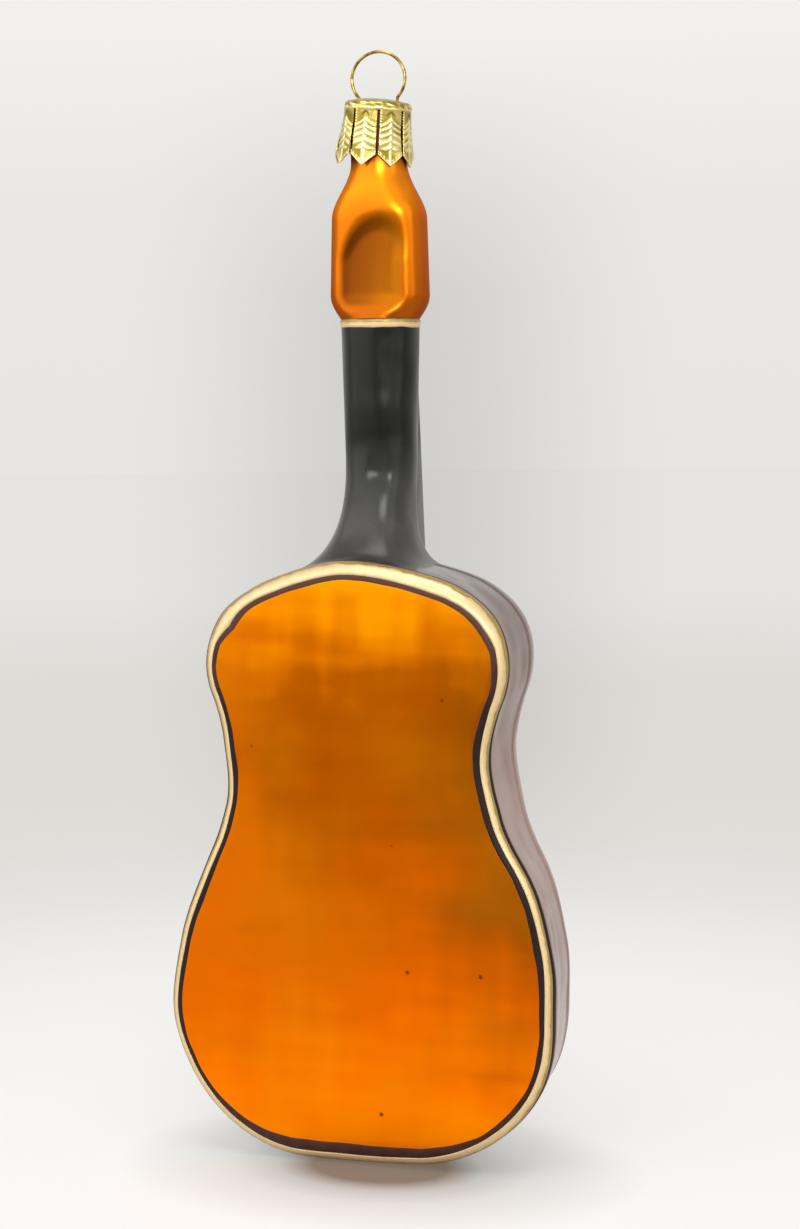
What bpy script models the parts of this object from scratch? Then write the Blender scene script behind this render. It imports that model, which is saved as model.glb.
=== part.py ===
"""Hanging glass ornament in the shape of a six-string guitar.

A hollow glass shell, blown in a two-part mould, is open at the short neck above its head. A stamped
cap with eight lappets sits over that neck. A bent wire makes the hanging loop, passes through two
holes in the cap and reaches down inside the glass as two legs. Raised lines of gold paint trim it.

Metres, +Z up. The origin is where a hook carries the loop, at the inside of its top. X runs across
the guitar, -Y is its back, the side with the plain panel, and +Y is its strung front.
Heights in the functions below count from the lowest point of the guitar's body.
"""

import math

import bmesh
import bpy
import numpy as np

MM = 0.001

# Body outline, as tangent arcs: half widths at the bouts and waist, how much narrower the lower bout
# is at the seam than at the back, then arc radii
BODY_LENGTH = 88.0 * MM
LOWER_HALF_WIDTH = 29.2 * MM
WAIST_HALF_WIDTH = 20.45 * MM
UPPER_HALF_WIDTH = 23.2 * MM
LOWER_NARROWING = 0.5 * MM
LOWER_CORNER_RADIUS = 21.9 * MM
LOWER_SIDE_RADIUS = 52.5 * MM
UPPER_RADIUS = 12.5 * MM
BOTTOM_RADIUS = 160.0 * MM
TOP_RADIUS = 43.0 * MM

# Body depth, measured from the mould seam, which is also the plane of the neck's axis
BACK_DEPTH = 14.8 * MM
FRONT_DEPTH = 8.0 * MM
BACK_EDGE_RADIUS = 2.6 * MM
BACK_DRAFT = 0.1 * MM
FRONT_EDGE_RADIUS = 1.8 * MM
FRONT_DRAW_IN = 2.2 * MM
SEAM_INSET = 0.15 * MM
SEAM_HEIGHT = 0.1 * MM
SEAM_WIDTH = 0.8 * MM

# Neck, with its heel spreading into the top of the body
NECK_LENGTH = 35.4 * MM
NECK_HALF_WIDTH = 4.95 * MM
NUT_HALF_WIDTH = 5.6 * MM
NECK_BACK_DEPTH = 5.5 * MM
NECK_FRONT_DEPTH = 4.8 * MM
NECK_FRONT_AT_BODY = 5.4 * MM
NECK_SQUARENESS = 2.3
HEEL_SPREAD = 2.8 * MM
HEEL_BACK_SPREAD = 6.3 * MM
HEEL_RUN = 4.2 * MM
HEEL_SQUARENESS = 1.4
HEEL_FADE = 4.0
NECK_ROOT = 6.7 * MM

# Head, from the nut up to the open glass neck under the cap
HEAD_LENGTH = 22.6 * MM
HEAD_HALF_WIDTH = 7.25 * MM
HEAD_TOP_HALF_WIDTH = 6.6 * MM
HEAD_BACK_DEPTH = 5.0 * MM
HEAD_FRONT_DEPTH = 4.8 * MM
HEAD_CORNER_RUN = 3.6 * MM
HEAD_SHOULDER_RUN = 8.0 * MM
HEAD_SQUARENESS = 3.2
DISH_DEPTH = 0.55 * MM
DISH_HALF_WIDTH = 5.0 * MM
DISH_MARGIN = 1.6 * MM
DISH_FOOT = 2.4 * MM
DISH_TOP_DROP = 6.0 * MM
DISH_ARCH = 7.0 * MM
GLASS_NECK_RADIUS = 4.15 * MM
GLASS_NECK_LENGTH = 8.2 * MM
GLASS_WALL = 0.75 * MM

# Relief moulded into the front of the glass
FINGERBOARD_NUT_HALF = 3.8 * MM
FINGERBOARD_END_HALF = 4.6 * MM
FINGERBOARD_RISE = 0.7 * MM
FINGERBOARD_ROOT = 0.8 * MM
FINGERBOARD_RING_GAP = 1.1 * MM
FINGERBOARD_NUT_GAP = 0.6 * MM
RELIEF_DRAFT = 0.5 * MM
SOUNDHOLE_HEIGHT = 56.5 * MM
SOUNDHOLE_RADIUS = 7.6 * MM
SOUNDHOLE_DISH = 0.3 * MM
BRIDGE_HEIGHT = 29.0 * MM
BRIDGE_HALF_WIDTH = 11.0 * MM
BRIDGE_HALF_LENGTH = 2.0 * MM
BRIDGE_RISE = 1.1 * MM

# Raised gold lines
SEAT_GAP = 0.3 * MM
PAINT_THICKNESS = 0.25 * MM
LINE_FROM_DEGREES = 35.0
LINE_TO_DEGREES = 80.0
LINE_HEEL_GAP = 1.2 * MM
NUT_BAND_WIDTH = 1.3 * MM
NUT_BAND_DROP = 0.15 * MM
ROSETTE_INNER_GAP = 0.7 * MM
ROSETTE_WIDTH = 1.1 * MM
STRING_COUNT = 6
STRING_WIDTH = 0.3 * MM
STRING_GAP = 0.3 * MM
STRING_NUT_SPACING = 1.15 * MM
STRING_BRIDGE_SPACING = 2.1 * MM

# Stamped cap, which sits askew: it leans towards -Y, tilts to one side and is turned a little
CAP_SHEET = 0.3 * MM
CAP_TOP_GAP = 0.5 * MM
CAP_SIDE_GAP = 0.45 * MM
CAP_DOME = 0.45 * MM
CAP_RIM_RADIUS = 0.8 * MM
CAP_SKIRT = 9.0 * MM
CAP_FLARE = 0.55 * MM
CAP_LEAN = math.radians(3.5)
CAP_TILT = math.radians(2.5)
CAP_TURN = math.radians(-3.0)
LAPPET_COUNT = 8
LAPPET_SLIT = 0.35 * MM
LAPPET_SLIT_START = 2.0 * MM
LAPPET_POINT = 1.7 * MM
LAPPET_RIB = 0.12 * MM

# Hanging wire
WIRE_RADIUS = 0.23 * MM
LOOP_HALF_WIDTH = 4.05 * MM
LOOP_HALF_HEIGHT = 3.9 * MM
LOOP_CENTRE_RISE = 2.8 * MM
LOOP_END_DEGREES = -42.0
HOLE_SPREAD = 2.9 * MM
LEG_SPREAD = 2.8 * MM
LEG_TIP_SPREAD = 2.5 * MM
LEG_LENGTH = 15.0 * MM
LEG_TOP_DEPTH = 2.2 * MM
LEG_BEND_DEPTH = 10.5 * MM
WIRE_HOLE_GAP = 0.3 * MM

# Facets: steps round a turn, and rows as shares of the way along a stretch
ARC_STEPS = (4, 8, 5, 7, 7, 6)
SECTION_POINTS = 32
SECTION_POINTS_INSIDE = 24
LAPPET_COLUMNS = 4
LOOP_STEPS = 28
WIRE_SIDES = 8
LEG_ROW_SPACING = 0.4 * MM
HOLE_SIDES = 16
LINE_STEPS = 2
CAP_RIM_STEPS = 3
FRONT_SIDE_ROWS = (0.4, 0.7)
HOLLOW_SIDE_ROWS = (0.55,)
CAP_CROWN_ROWS = (0.35, 0.7, 1.0)
CAP_SKIRT_ROWS = (0.0, 0.35, 0.7, 1.0)

# How far a cutting shape runs past what it cuts
CUT_CLEARANCE = 3.0 * MM

# Heights that follow from the sizes above
NUT_Z = BODY_LENGTH + NECK_LENGTH
HEAD_TOP_Z = NUT_Z + HEAD_LENGTH
LIP_Z = HEAD_TOP_Z + GLASS_NECK_LENGTH
CAP_RADIUS = GLASS_NECK_RADIUS + CAP_SIDE_GAP + CAP_SHEET
CAP_CROWN_Z = LIP_Z + CAP_TOP_GAP + CAP_SHEET + CAP_DOME
LOOP_CENTRE_Z = CAP_CROWN_Z + LOOP_CENTRE_RISE
HANG_Z = LOOP_CENTRE_Z + LOOP_HALF_HEIGHT - WIRE_RADIUS


def remove_everything():
    for thing in list(bpy.data.objects):
        bpy.data.objects.remove(thing, do_unlink=True)


def make_material(name, colour, roughness, metallic):
    material = bpy.data.materials.new(name)
    material.use_nodes = True
    shader = material.node_tree.nodes["Principled BSDF"]
    shader.inputs["Base Color"].default_value = (*colour, 1.0)
    shader.inputs["Roughness"].default_value = roughness
    shader.inputs["Metallic"].default_value = metallic
    material.diffuse_color = (*colour, 1.0)
    return material


def add_object(name, bm, height, material, smooth=True):
    """Turn a bmesh into an object whose origin lies on the neck's axis, at this height."""
    mesh = bpy.data.meshes.new(name)
    bmesh.ops.recalc_face_normals(bm, faces=bm.faces)
    bm.to_mesh(mesh)
    bm.free()
    if smooth:
        mesh.shade_smooth()
        mesh.set_sharp_from_angle(angle=math.radians(35))
    thing = bpy.data.objects.new(name, mesh)
    bpy.context.scene.collection.objects.link(thing)
    thing.location = (0.0, 0.0, height - HANG_Z)
    if material:
        mesh.materials.append(material)
    return thing


def add_tool(name, bm, height):
    """A shape that only cuts or joins another, left out of the finished model."""
    tool = add_object(name, bm, height, None, smooth=False)
    tool.hide_render = True
    tool.display_type = "WIRE"
    return tool


def apply_boolean(thing, tool, operation):
    modifier = thing.modifiers.new(f"{operation.lower()} {tool.name}", "BOOLEAN")
    modifier.operation = operation
    modifier.solver = "EXACT"
    modifier.object = tool


def loft(bm, rings, closed=False):
    """Join equal rings of points side by side, closing the ends or the last ring to the first."""
    loops = [[bm.verts.new(point) for point in ring] for ring in rings]
    pairs = list(zip(loops, loops[1:] + loops[:1] if closed else loops[1:]))
    for first, second in pairs:
        for i in range(len(first)):
            j = (i + 1) % len(first)
            bm.faces.new((first[i], first[j], second[j], second[i]))
    if not closed:
        bm.faces.new(loops[0])
        bm.faces.new(loops[-1])
    return bm


def smooth_step(t):
    t = min(max(t, 0.0), 1.0)
    return t * t * (3.0 - 2.0 * t)


def outline_centres(narrowing):
    """Centres and radii of the arcs on the +X side, from the bottom arc to the top one."""
    lower_half_width = LOWER_HALF_WIDTH - narrowing
    corner_x = lower_half_width - LOWER_CORNER_RADIUS
    lower_x = lower_half_width - LOWER_SIDE_RADIUS
    upper_x = UPPER_HALF_WIDTH - UPPER_RADIUS
    lower_z = BOTTOM_RADIUS - math.sqrt((BOTTOM_RADIUS - LOWER_CORNER_RADIUS) ** 2 - corner_x**2)
    upper_z = BODY_LENGTH - TOP_RADIUS + math.sqrt((TOP_RADIUS - UPPER_RADIUS) ** 2 - upper_x**2)
    # The waist arc touches both bouts: its radius is the same reckoned from either one
    a_low = (WAIST_HALF_WIDTH - lower_x) ** 2 - LOWER_SIDE_RADIUS**2
    a_up = (WAIST_HALF_WIDTH - upper_x) ** 2 - UPPER_RADIUS**2
    b_low = 2.0 * (lower_half_width - WAIST_HALF_WIDTH)
    b_up = 2.0 * (UPPER_HALF_WIDTH - WAIST_HALF_WIDTH)
    square = 1.0 / b_low - 1.0 / b_up
    linear = 2.0 * (upper_z / b_up - lower_z / b_low)
    constant = (a_low + lower_z**2) / b_low - (a_up + upper_z**2) / b_up
    roots = np.roots([square, linear, constant]).real
    waist_z = min(roots, key=lambda z: abs(z - 0.5 * (lower_z + upper_z)))
    waist_radius = (a_low + (waist_z - lower_z) ** 2) / b_low
    return (
        ((0.0, BOTTOM_RADIUS), BOTTOM_RADIUS),
        ((corner_x, lower_z), LOWER_CORNER_RADIUS),
        ((lower_x, lower_z), LOWER_SIDE_RADIUS),
        ((WAIST_HALF_WIDTH + waist_radius, waist_z), -waist_radius),
        ((upper_x, upper_z), UPPER_RADIUS),
        ((0.0, BODY_LENGTH - TOP_RADIUS), TOP_RADIUS),
    )


def outline(inset, narrowing):
    """The body's outline drawn in by inset, as (x, z) points, anticlockwise from the bottom.

    A point on an arc is its centre plus its radius along the outward normal, and an inset shortens
    each radius alike. Two arcs meet where their centres line up with that normal.
    """
    arcs = outline_centres(narrowing)
    turns = [-0.5 * math.pi]
    for ((x1, z1), r1), ((x2, z2), r2) in zip(arcs, arcs[1:]):
        turns.append(math.atan2((z2 - z1) / (r1 - r2), (x2 - x1) / (r1 - r2)))
    turns.append(0.5 * math.pi)
    side = []
    for ((x, z), radius), start, stop, steps in zip(arcs, turns, turns[1:], ARC_STEPS):
        for i in range(steps):
            angle = start + (stop - start) * i / steps
            side.append((x + (radius - inset) * math.cos(angle), z + (radius - inset) * math.sin(angle)))
    top = (0.0, BODY_LENGTH - inset)
    mirrored = [(-x, z) for x, z in reversed(side[1:])]
    return side + [top] + mirrored


def body_ring(depth, inset):
    """The outline at a depth: the lower bout narrows evenly from the back panel to the seam."""
    narrowing = LOWER_NARROWING * min(1.0 + depth / BACK_DEPTH, 1.0)
    return [(x, depth, z) for x, z in outline(inset, narrowing)]


def quarter_round(radius, steps):
    """Depth and inset along a rounded edge, from its flat panel to its side."""
    turns = [0.5 * math.pi * i / steps for i in range(steps + 1)]
    return [(radius * (1.0 - math.cos(a)), radius * (1.0 - math.sin(a))) for a in turns]


def front_inset(depth):
    """How far the front half has drawn in at this distance in front of the seam."""
    share = depth / (FRONT_DEPTH - FRONT_EDGE_RADIUS)
    return SEAM_INSET + (FRONT_DRAW_IN - SEAM_INSET) * share**2


def make_body():
    """The blown body: flat back, rounded edge, nearly straight side, seam, drawn-in front."""
    half_seam = 0.5 * SEAM_WIDTH
    front_side = FRONT_DEPTH - FRONT_EDGE_RADIUS
    back = quarter_round(BACK_EDGE_RADIUS, 5)
    front = quarter_round(FRONT_EDGE_RADIUS, 3)
    profile = [(depth - BACK_DEPTH, inset + BACK_DRAFT) for depth, inset in back]
    profile += [(-half_seam, SEAM_INSET), (0.0, SEAM_INSET - SEAM_HEIGHT), (half_seam, SEAM_INSET)]
    profile += [(share * front_side, front_inset(share * front_side)) for share in FRONT_SIDE_ROWS]
    profile += [(FRONT_DEPTH - depth, inset + FRONT_DRAW_IN) for depth, inset in reversed(front)]
    return loft(bmesh.new(), [body_ring(depth, inset) for depth, inset in profile])


def make_body_hollow():
    """The space inside the body, a wall's thickness in from its outside all round."""
    front_side = FRONT_DEPTH - FRONT_EDGE_RADIUS
    back = quarter_round(BACK_EDGE_RADIUS - GLASS_WALL, 3)
    front = quarter_round(FRONT_EDGE_RADIUS - GLASS_WALL, 2)
    back_inset = BACK_DRAFT + GLASS_WALL
    profile = [(GLASS_WALL + depth - BACK_DEPTH, inset + back_inset) for depth, inset in back]
    profile += [(0.0, SEAM_INSET + GLASS_WALL)]
    for share in HOLLOW_SIDE_ROWS:
        profile += [(share * front_side, GLASS_WALL + front_inset(share * front_side))]
    inset_front = FRONT_DRAW_IN + GLASS_WALL
    profile += [(FRONT_DEPTH - GLASS_WALL - depth, inset + inset_front) for depth, inset in reversed(front)]
    return loft(bmesh.new(), [body_ring(depth, inset) for depth, inset in profile])


def neck_section(z):
    """Half width, depth behind and in front of the axis, and squareness of the glass at a height."""
    heel = math.exp(-max(z - BODY_LENGTH, -HEEL_RUN) / HEEL_RUN)
    along = min(max((z - BODY_LENGTH) / NECK_LENGTH, 0.0), 1.0)
    width = NECK_HALF_WIDTH + (NUT_HALF_WIDTH - NECK_HALF_WIDTH) * along + HEEL_SPREAD * heel
    back = min(NECK_BACK_DEPTH + HEEL_BACK_SPREAD * heel, BACK_DEPTH - BACK_EDGE_RADIUS)
    front = NECK_FRONT_AT_BODY + (NECK_FRONT_DEPTH - NECK_FRONT_AT_BODY) * along
    square = NECK_SQUARENESS + HEEL_SQUARENESS * min(heel, 1.0)
    if z <= NUT_Z:
        return width, back, front, square
    rise = math.sin(0.5 * math.pi * min((z - NUT_Z) / HEAD_CORNER_RUN, 1.0))
    fall = smooth_step((HEAD_TOP_Z - z) / HEAD_SHOULDER_RUN)
    taper = (z - NUT_Z) / HEAD_LENGTH
    full = HEAD_HALF_WIDTH + (HEAD_TOP_HALF_WIDTH - HEAD_HALF_WIDTH) * taper
    width = width + (full - width) * rise
    back = NECK_BACK_DEPTH + (HEAD_BACK_DEPTH - NECK_BACK_DEPTH) * rise
    front = front + (HEAD_FRONT_DEPTH - front) * rise
    square = square + (HEAD_SQUARENESS - square) * rise
    width = GLASS_NECK_RADIUS + (width - GLASS_NECK_RADIUS) * fall
    back = GLASS_NECK_RADIUS + (back - GLASS_NECK_RADIUS) * fall
    front = GLASS_NECK_RADIUS + (front - GLASS_NECK_RADIUS) * fall
    square = 2.0 + (square - 2.0) * fall
    return width, back, front, square


def dish(x, z):
    """Depth of the shallow dish in the back of the head: flat-bottomed, round at its top."""
    foot = NUT_Z + DISH_FOOT
    top = HEAD_TOP_Z - DISH_TOP_DROP
    centre = top - DISH_ARCH
    across = abs(x) / DISH_HALF_WIDTH
    above = max(z - centre, 0.0) / (top - centre)
    edge = 1.0 - math.hypot(across, above)
    side = smooth_step(edge * DISH_HALF_WIDTH / DISH_MARGIN)
    return DISH_DEPTH * side * smooth_step((z - foot) / DISH_MARGIN)


def section_ring(z, sizes, points, dished=False):
    """A superellipse of these half sizes at this height, deeper behind the axis or in front."""
    width, back, front, square = sizes
    ring = []
    for i in range(points):
        angle = 2.0 * math.pi * i / points
        cosine, sine = math.cos(angle), math.sin(angle)
        x = width * math.copysign(abs(cosine) ** (2.0 / square), cosine)
        depth = front if sine > 0.0 else back
        y = depth * math.copysign(abs(sine) ** (2.0 / square), sine)
        if dished and sine < 0.0:
            y += dish(x, z)
        ring.append((x, y, z))
    return ring


def neck_heights(first, last):
    """Levels of the loft from inside the body to the lip, closer together where it turns."""
    heel_end = BODY_LENGTH + HEEL_FADE * HEEL_RUN
    corner = NUT_Z + HEAD_CORNER_RUN
    shoulder = HEAD_TOP_Z - HEAD_SHOULDER_RUN
    stops = [(first, 3), (BODY_LENGTH, 7), (heel_end, 2), (NUT_Z, 4), (corner, 4), (shoulder, 7)]
    stops += [(HEAD_TOP_Z, 2), (last, 0)]
    heights = []
    for (start, count), (stop, _) in zip(stops, stops[1:]):
        heights += [start + (stop - start) * i / count for i in range(count)]
    return heights + [last]


def make_neck():
    """Heel, neck, head and glass neck as one loft, from inside the body up to the open lip."""
    heights = neck_heights(BODY_LENGTH - NECK_ROOT, LIP_Z)
    rings = [section_ring(z, neck_section(z), SECTION_POINTS, dished=True) for z in heights]
    return loft(bmesh.new(), rings)


def bore_section(z):
    """The neck's section drawn in by the wall, also where the outside turns inwards nearby."""
    near = [neck_section(z + shift) for shift in (-GLASS_WALL, 0.0, GLASS_WALL)]
    width, back, front = (min(sizes[i] for sizes in near) - GLASS_WALL for i in range(3))
    return width, back - dish(0.0, z), front, near[1][3]


def make_neck_hollow():
    heights = neck_heights(BODY_LENGTH - NECK_ROOT - 2.0 * GLASS_WALL, LIP_Z + CUT_CLEARANCE)
    rings = [section_ring(z, bore_section(z), SECTION_POINTS_INSIDE) for z in heights]
    return loft(bmesh.new(), rings)


def fingerboard_end_z():
    """The fingerboard ends on the body, clear of the ring round the soundhole."""
    ring = SOUNDHOLE_RADIUS + ROSETTE_INNER_GAP + ROSETTE_WIDTH
    return SOUNDHOLE_HEIGHT + ring + FINGERBOARD_RING_GAP


def fingerboard_knee_z():
    """The fingerboard lies level over the front panel as far as the panel's flat part goes."""
    return BODY_LENGTH - FRONT_DRAW_IN - FRONT_EDGE_RADIUS


def fingerboard_nut_z():
    return NUT_Z - NUT_BAND_WIDTH - FINGERBOARD_NUT_GAP


def fingerboard_top(z):
    """Depth of the fingerboard's face: level over the body, then in one slope down to the nut."""
    knee = fingerboard_knee_z()
    along = max(z - knee, 0.0) / (NUT_Z - knee)
    return FINGERBOARD_RISE + FRONT_DEPTH + (NECK_FRONT_DEPTH - FRONT_DEPTH) * along


def make_fingerboard():
    """A tapered bar rooted inside the neck and the front panel, with its sides and foot drafted."""
    foot = fingerboard_end_z()
    head = fingerboard_nut_z()
    rings = []
    for z, slant in ((foot, RELIEF_DRAFT), (fingerboard_knee_z(), 0.0), (head, 0.0)):
        along = (z - foot) / (head - foot)
        half = FINGERBOARD_END_HALF + (FINGERBOARD_NUT_HALF - FINGERBOARD_END_HALF) * along
        wide = half + RELIEF_DRAFT
        top = fingerboard_top(z)
        root = [(-wide, FINGERBOARD_ROOT, z - slant), (wide, FINGERBOARD_ROOT, z - slant)]
        rings.append(root + [(half, top, z), (-half, top, z)])
    return loft(bmesh.new(), rings)


def make_bridge():
    """A low block with drafted sides, rooted in the wall of the front panel."""
    rings = []
    root = FRONT_DEPTH - 0.5 * GLASS_WALL
    for spread, depth in ((RELIEF_DRAFT, root), (0.0, FRONT_DEPTH + BRIDGE_RISE)):
        half_x = BRIDGE_HALF_WIDTH + spread
        half_z = BRIDGE_HALF_LENGTH + spread
        corners = ((-half_x, -half_z), (half_x, -half_z), (half_x, half_z), (-half_x, half_z))
        rings.append([(x, depth, BRIDGE_HEIGHT + z) for x, z in corners])
    return loft(bmesh.new(), rings)


def front_circle(radius, depth):
    """A circle round the soundhole's centre, parallel to the front panel."""
    turns = [2.0 * math.pi * i / SECTION_POINTS for i in range(SECTION_POINTS)]
    return [(radius * math.cos(a), depth, SOUNDHOLE_HEIGHT + radius * math.sin(a)) for a in turns]


def make_soundhole():
    floor = front_circle(SOUNDHOLE_RADIUS - SOUNDHOLE_DISH, FRONT_DEPTH - SOUNDHOLE_DISH)
    mouth = front_circle(SOUNDHOLE_RADIUS + GLASS_WALL, FRONT_DEPTH + GLASS_WALL)
    return loft(bmesh.new(), [floor, mouth])


def build_glass(material):
    """The shell in one piece: outside shapes joined, then both hollows and the soundhole cut."""
    glass = add_object("glass_shell", make_body(), 0.0, material)
    outsides = {"neck": make_neck(), "fingerboard": make_fingerboard(), "bridge": make_bridge()}
    for name, shape in outsides.items():
        apply_boolean(glass, add_tool(f"{name}_outside", shape, 0.0), "UNION")
    hollows = {"body": make_body_hollow(), "neck": make_neck_hollow(), "soundhole": make_soundhole()}
    for name, shape in hollows.items():
        apply_boolean(glass, add_tool(f"{name}_hollow", shape, 0.0), "DIFFERENCE")


def edge_line(edge_radius, edge_depth, edge_inset, direction, opening):
    """A curved strip of paint along a panel's rounded edge, left open within this x of the neck."""
    step = (LINE_TO_DEGREES - LINE_FROM_DEGREES) / LINE_STEPS
    turns = [math.radians(LINE_FROM_DEGREES + i * step) for i in range(LINE_STEPS + 1)]
    inner = edge_radius + SEAT_GAP
    section = [(inner, a) for a in turns] + [(inner + PAINT_THICKNESS, a) for a in reversed(turns)]
    lines = []
    for radius, angle in section:
        depth = direction * (edge_depth - edge_radius + radius * math.cos(angle))
        lines.append(body_ring(depth, edge_inset + edge_radius - radius * math.sin(angle)))
    slices = list(zip(*lines))
    top = len(slices) // 2
    round_from_top = slices[top:] + slices[:top]
    if opening == 0.0:
        return loft(bmesh.new(), round_from_top, closed=True)
    middle = 0.5 * BODY_LENGTH
    kept = [points for points in round_from_top if abs(points[0][0]) >= opening or points[0][2] < middle]
    return loft(bmesh.new(), kept)


def make_nut_band():
    """A thin hoop of paint round the top of the neck, under the head."""
    heights = (NUT_Z - NUT_BAND_WIDTH, NUT_Z - NUT_BAND_DROP)
    corners = ((heights[0], 0), (heights[0], 1), (heights[1], 1), (heights[1], 0))
    rings = []
    for z, layer in corners:
        width, back, front, square = neck_section(z)
        grow = SEAT_GAP + layer * PAINT_THICKNESS
        rings.append(section_ring(z, (width + grow, back + grow, front + grow, square), SECTION_POINTS))
    return loft(bmesh.new(), rings, closed=True)


def make_rosette():
    inner = SOUNDHOLE_RADIUS + ROSETTE_INNER_GAP
    low = FRONT_DEPTH + SEAT_GAP
    corners = ((0, 0), (1, 0), (1, 1), (0, 1))
    rings = [front_circle(inner + i * ROSETTE_WIDTH, low + j * PAINT_THICKNESS) for i, j in corners]
    return loft(bmesh.new(), rings, closed=True)


def make_string(place):
    """A square wire from the middle of the bridge, over the fingerboard's knee, to the nut."""
    knee = fingerboard_knee_z()
    head = fingerboard_nut_z()
    points = (
        (FRONT_DEPTH + BRIDGE_RISE, BRIDGE_HEIGHT),
        (fingerboard_top(knee), knee),
        (fingerboard_top(head), head),
    )
    rings = []
    for under, z in points:
        along = (z - BRIDGE_HEIGHT) / (head - BRIDGE_HEIGHT)
        x = place * (STRING_BRIDGE_SPACING + (STRING_NUT_SPACING - STRING_BRIDGE_SPACING) * along)
        left, right = x - 0.5 * STRING_WIDTH, x + 0.5 * STRING_WIDTH
        near, far = under + STRING_GAP, under + STRING_GAP + STRING_WIDTH
        rings.append([(left, near, z), (right, near, z), (right, far, z), (left, far, z)])
    return loft(bmesh.new(), rings)


def cap_profile():
    """Radius and height of the cap's outside, from its crown to the points of its lappets."""
    flat = CAP_RADIUS - CAP_RIM_RADIUS
    rows = [(flat * share, -CAP_DOME * share**2) for share in CAP_CROWN_ROWS]
    for i in range(1, CAP_RIM_STEPS + 1):
        turn = 0.5 * math.pi * i / CAP_RIM_STEPS
        drop = CAP_RIM_RADIUS * (1.0 - math.cos(turn))
        rows.append((flat + CAP_RIM_RADIUS * math.sin(turn), -CAP_DOME - drop))
    slit = CAP_DOME + LAPPET_SLIT_START
    for share in CAP_SKIRT_ROWS:
        drop = slit + (CAP_SKIRT + CAP_DOME - LAPPET_POINT - slit) * share
        rows.append((CAP_RADIUS + CAP_FLARE * share**2, -drop))
    return rows


def make_cap():
    """The cap's outside as an open sheet round its crown, which a Solidify then gives its thickness."""
    rows = cap_profile()
    slit_turn = 0.5 * LAPPET_SLIT / CAP_RADIUS
    pitch = 2.0 * math.pi / LAPPET_COUNT
    columns = []
    for k in range(LAPPET_COUNT):
        for i in range(LAPPET_COLUMNS + 1):
            across = 2.0 * i / LAPPET_COLUMNS - 1.0
            columns.append((k * pitch + across * (0.5 * pitch - slit_turn), across))
    bm = bmesh.new()
    grid = []
    slit_row = len(rows) - len(CAP_SKIRT_ROWS)
    for number, (radius, height) in enumerate(rows):
        ring = []
        for turn, across in columns:
            rib = LAPPET_RIB * (1.0 - abs(across)) if number > slit_row else 0.0
            drop = LAPPET_POINT * (1.0 - abs(across)) if number == len(rows) - 1 else 0.0
            reach = radius + rib
            ring.append(bm.verts.new((reach * math.cos(turn), reach * math.sin(turn), height - drop)))
        grid.append(ring)
    crown = bm.verts.new((0.0, 0.0, 0.0))
    count = len(columns)
    for i in range(count):
        j = (i + 1) % count
        bm.faces.new((crown, grid[0][i], grid[0][j]))
        is_slit = i % (LAPPET_COLUMNS + 1) == LAPPET_COLUMNS
        for number in range(len(rows) - 1):
            if is_slit and number >= slit_row:
                continue
            bm.faces.new((grid[number][i], grid[number + 1][i], grid[number + 1][j], grid[number][j]))
    return bm


def build_cap(material):
    cap = add_object("cap", make_cap(), CAP_CROWN_Z, material)
    sheet = cap.modifiers.new("sheet", "SOLIDIFY")
    sheet.thickness = CAP_SHEET
    sheet.offset = -1.0
    sheet.use_even_offset = True
    radius = WIRE_RADIUS + WIRE_HOLE_GAP
    sizes = {"segments": HOLE_SIDES, "radius1": radius, "radius2": radius, "depth": CUT_CLEARANCE}
    for side, name in ((-1.0, "left"), (1.0, "right")):
        bm = bmesh.new()
        bmesh.ops.create_cone(bm, cap_ends=True, **sizes)
        bmesh.ops.translate(bm, verts=bm.verts, vec=(side * HOLE_SPREAD, 0.0, -CAP_SHEET))
        apply_boolean(cap, add_tool(f"{name}_wire_hole", bm, CAP_CROWN_Z), "DIFFERENCE")
    cap.rotation_euler = (CAP_LEAN, CAP_TILT, CAP_TURN)


def smooth_path(points, spacing):
    """A Catmull-Rom curve through the points, whose first and last points only steer it."""
    path = []
    for p0, p1, p2, p3 in zip(points, points[1:], points[2:], points[3:]):
        steps = max(1, round(math.dist(p1, p2) / spacing))
        for i in range(steps):
            t = i / steps
            weights = (
                0.5 * (-t + 2.0 * t**2 - t**3),
                0.5 * (2.0 - 5.0 * t**2 + 3.0 * t**3),
                0.5 * (t + 4.0 * t**2 - 3.0 * t**3),
                0.5 * (-(t**2) + t**3),
            )
            path.append([sum(w * p[k] for w, p in zip(weights, (p0, p1, p2, p3))) for k in range(2)])
    return path


def wire_path():
    """The wire's centre line as (x, z) from the crown, from one leg's tip to the other's."""
    start = math.radians(LOOP_END_DEGREES)
    turns = [start + (math.pi - 2.0 * start) * i / LOOP_STEPS for i in range(LOOP_STEPS + 1)]
    loop = []
    for turn in turns:
        rise = LOOP_CENTRE_RISE + LOOP_HALF_HEIGHT * math.sin(turn)
        loop.append((LOOP_HALF_WIDTH * math.cos(turn), rise))
    leg = [
        (2.0 * LEG_TIP_SPREAD - LEG_SPREAD, LEG_BEND_DEPTH - 2.0 * LEG_LENGTH),
        (LEG_TIP_SPREAD, -LEG_LENGTH),
        (LEG_SPREAD, -LEG_BEND_DEPTH),
        (LEG_SPREAD, -LEG_TOP_DEPTH),
        (HOLE_SPREAD, -0.5 * CAP_SHEET),
        loop[0],
        loop[2],
    ]
    right = smooth_path(leg, LEG_ROW_SPACING)
    left = [(-x, z) for x, z in reversed(right)]
    return right + loop + left


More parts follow.
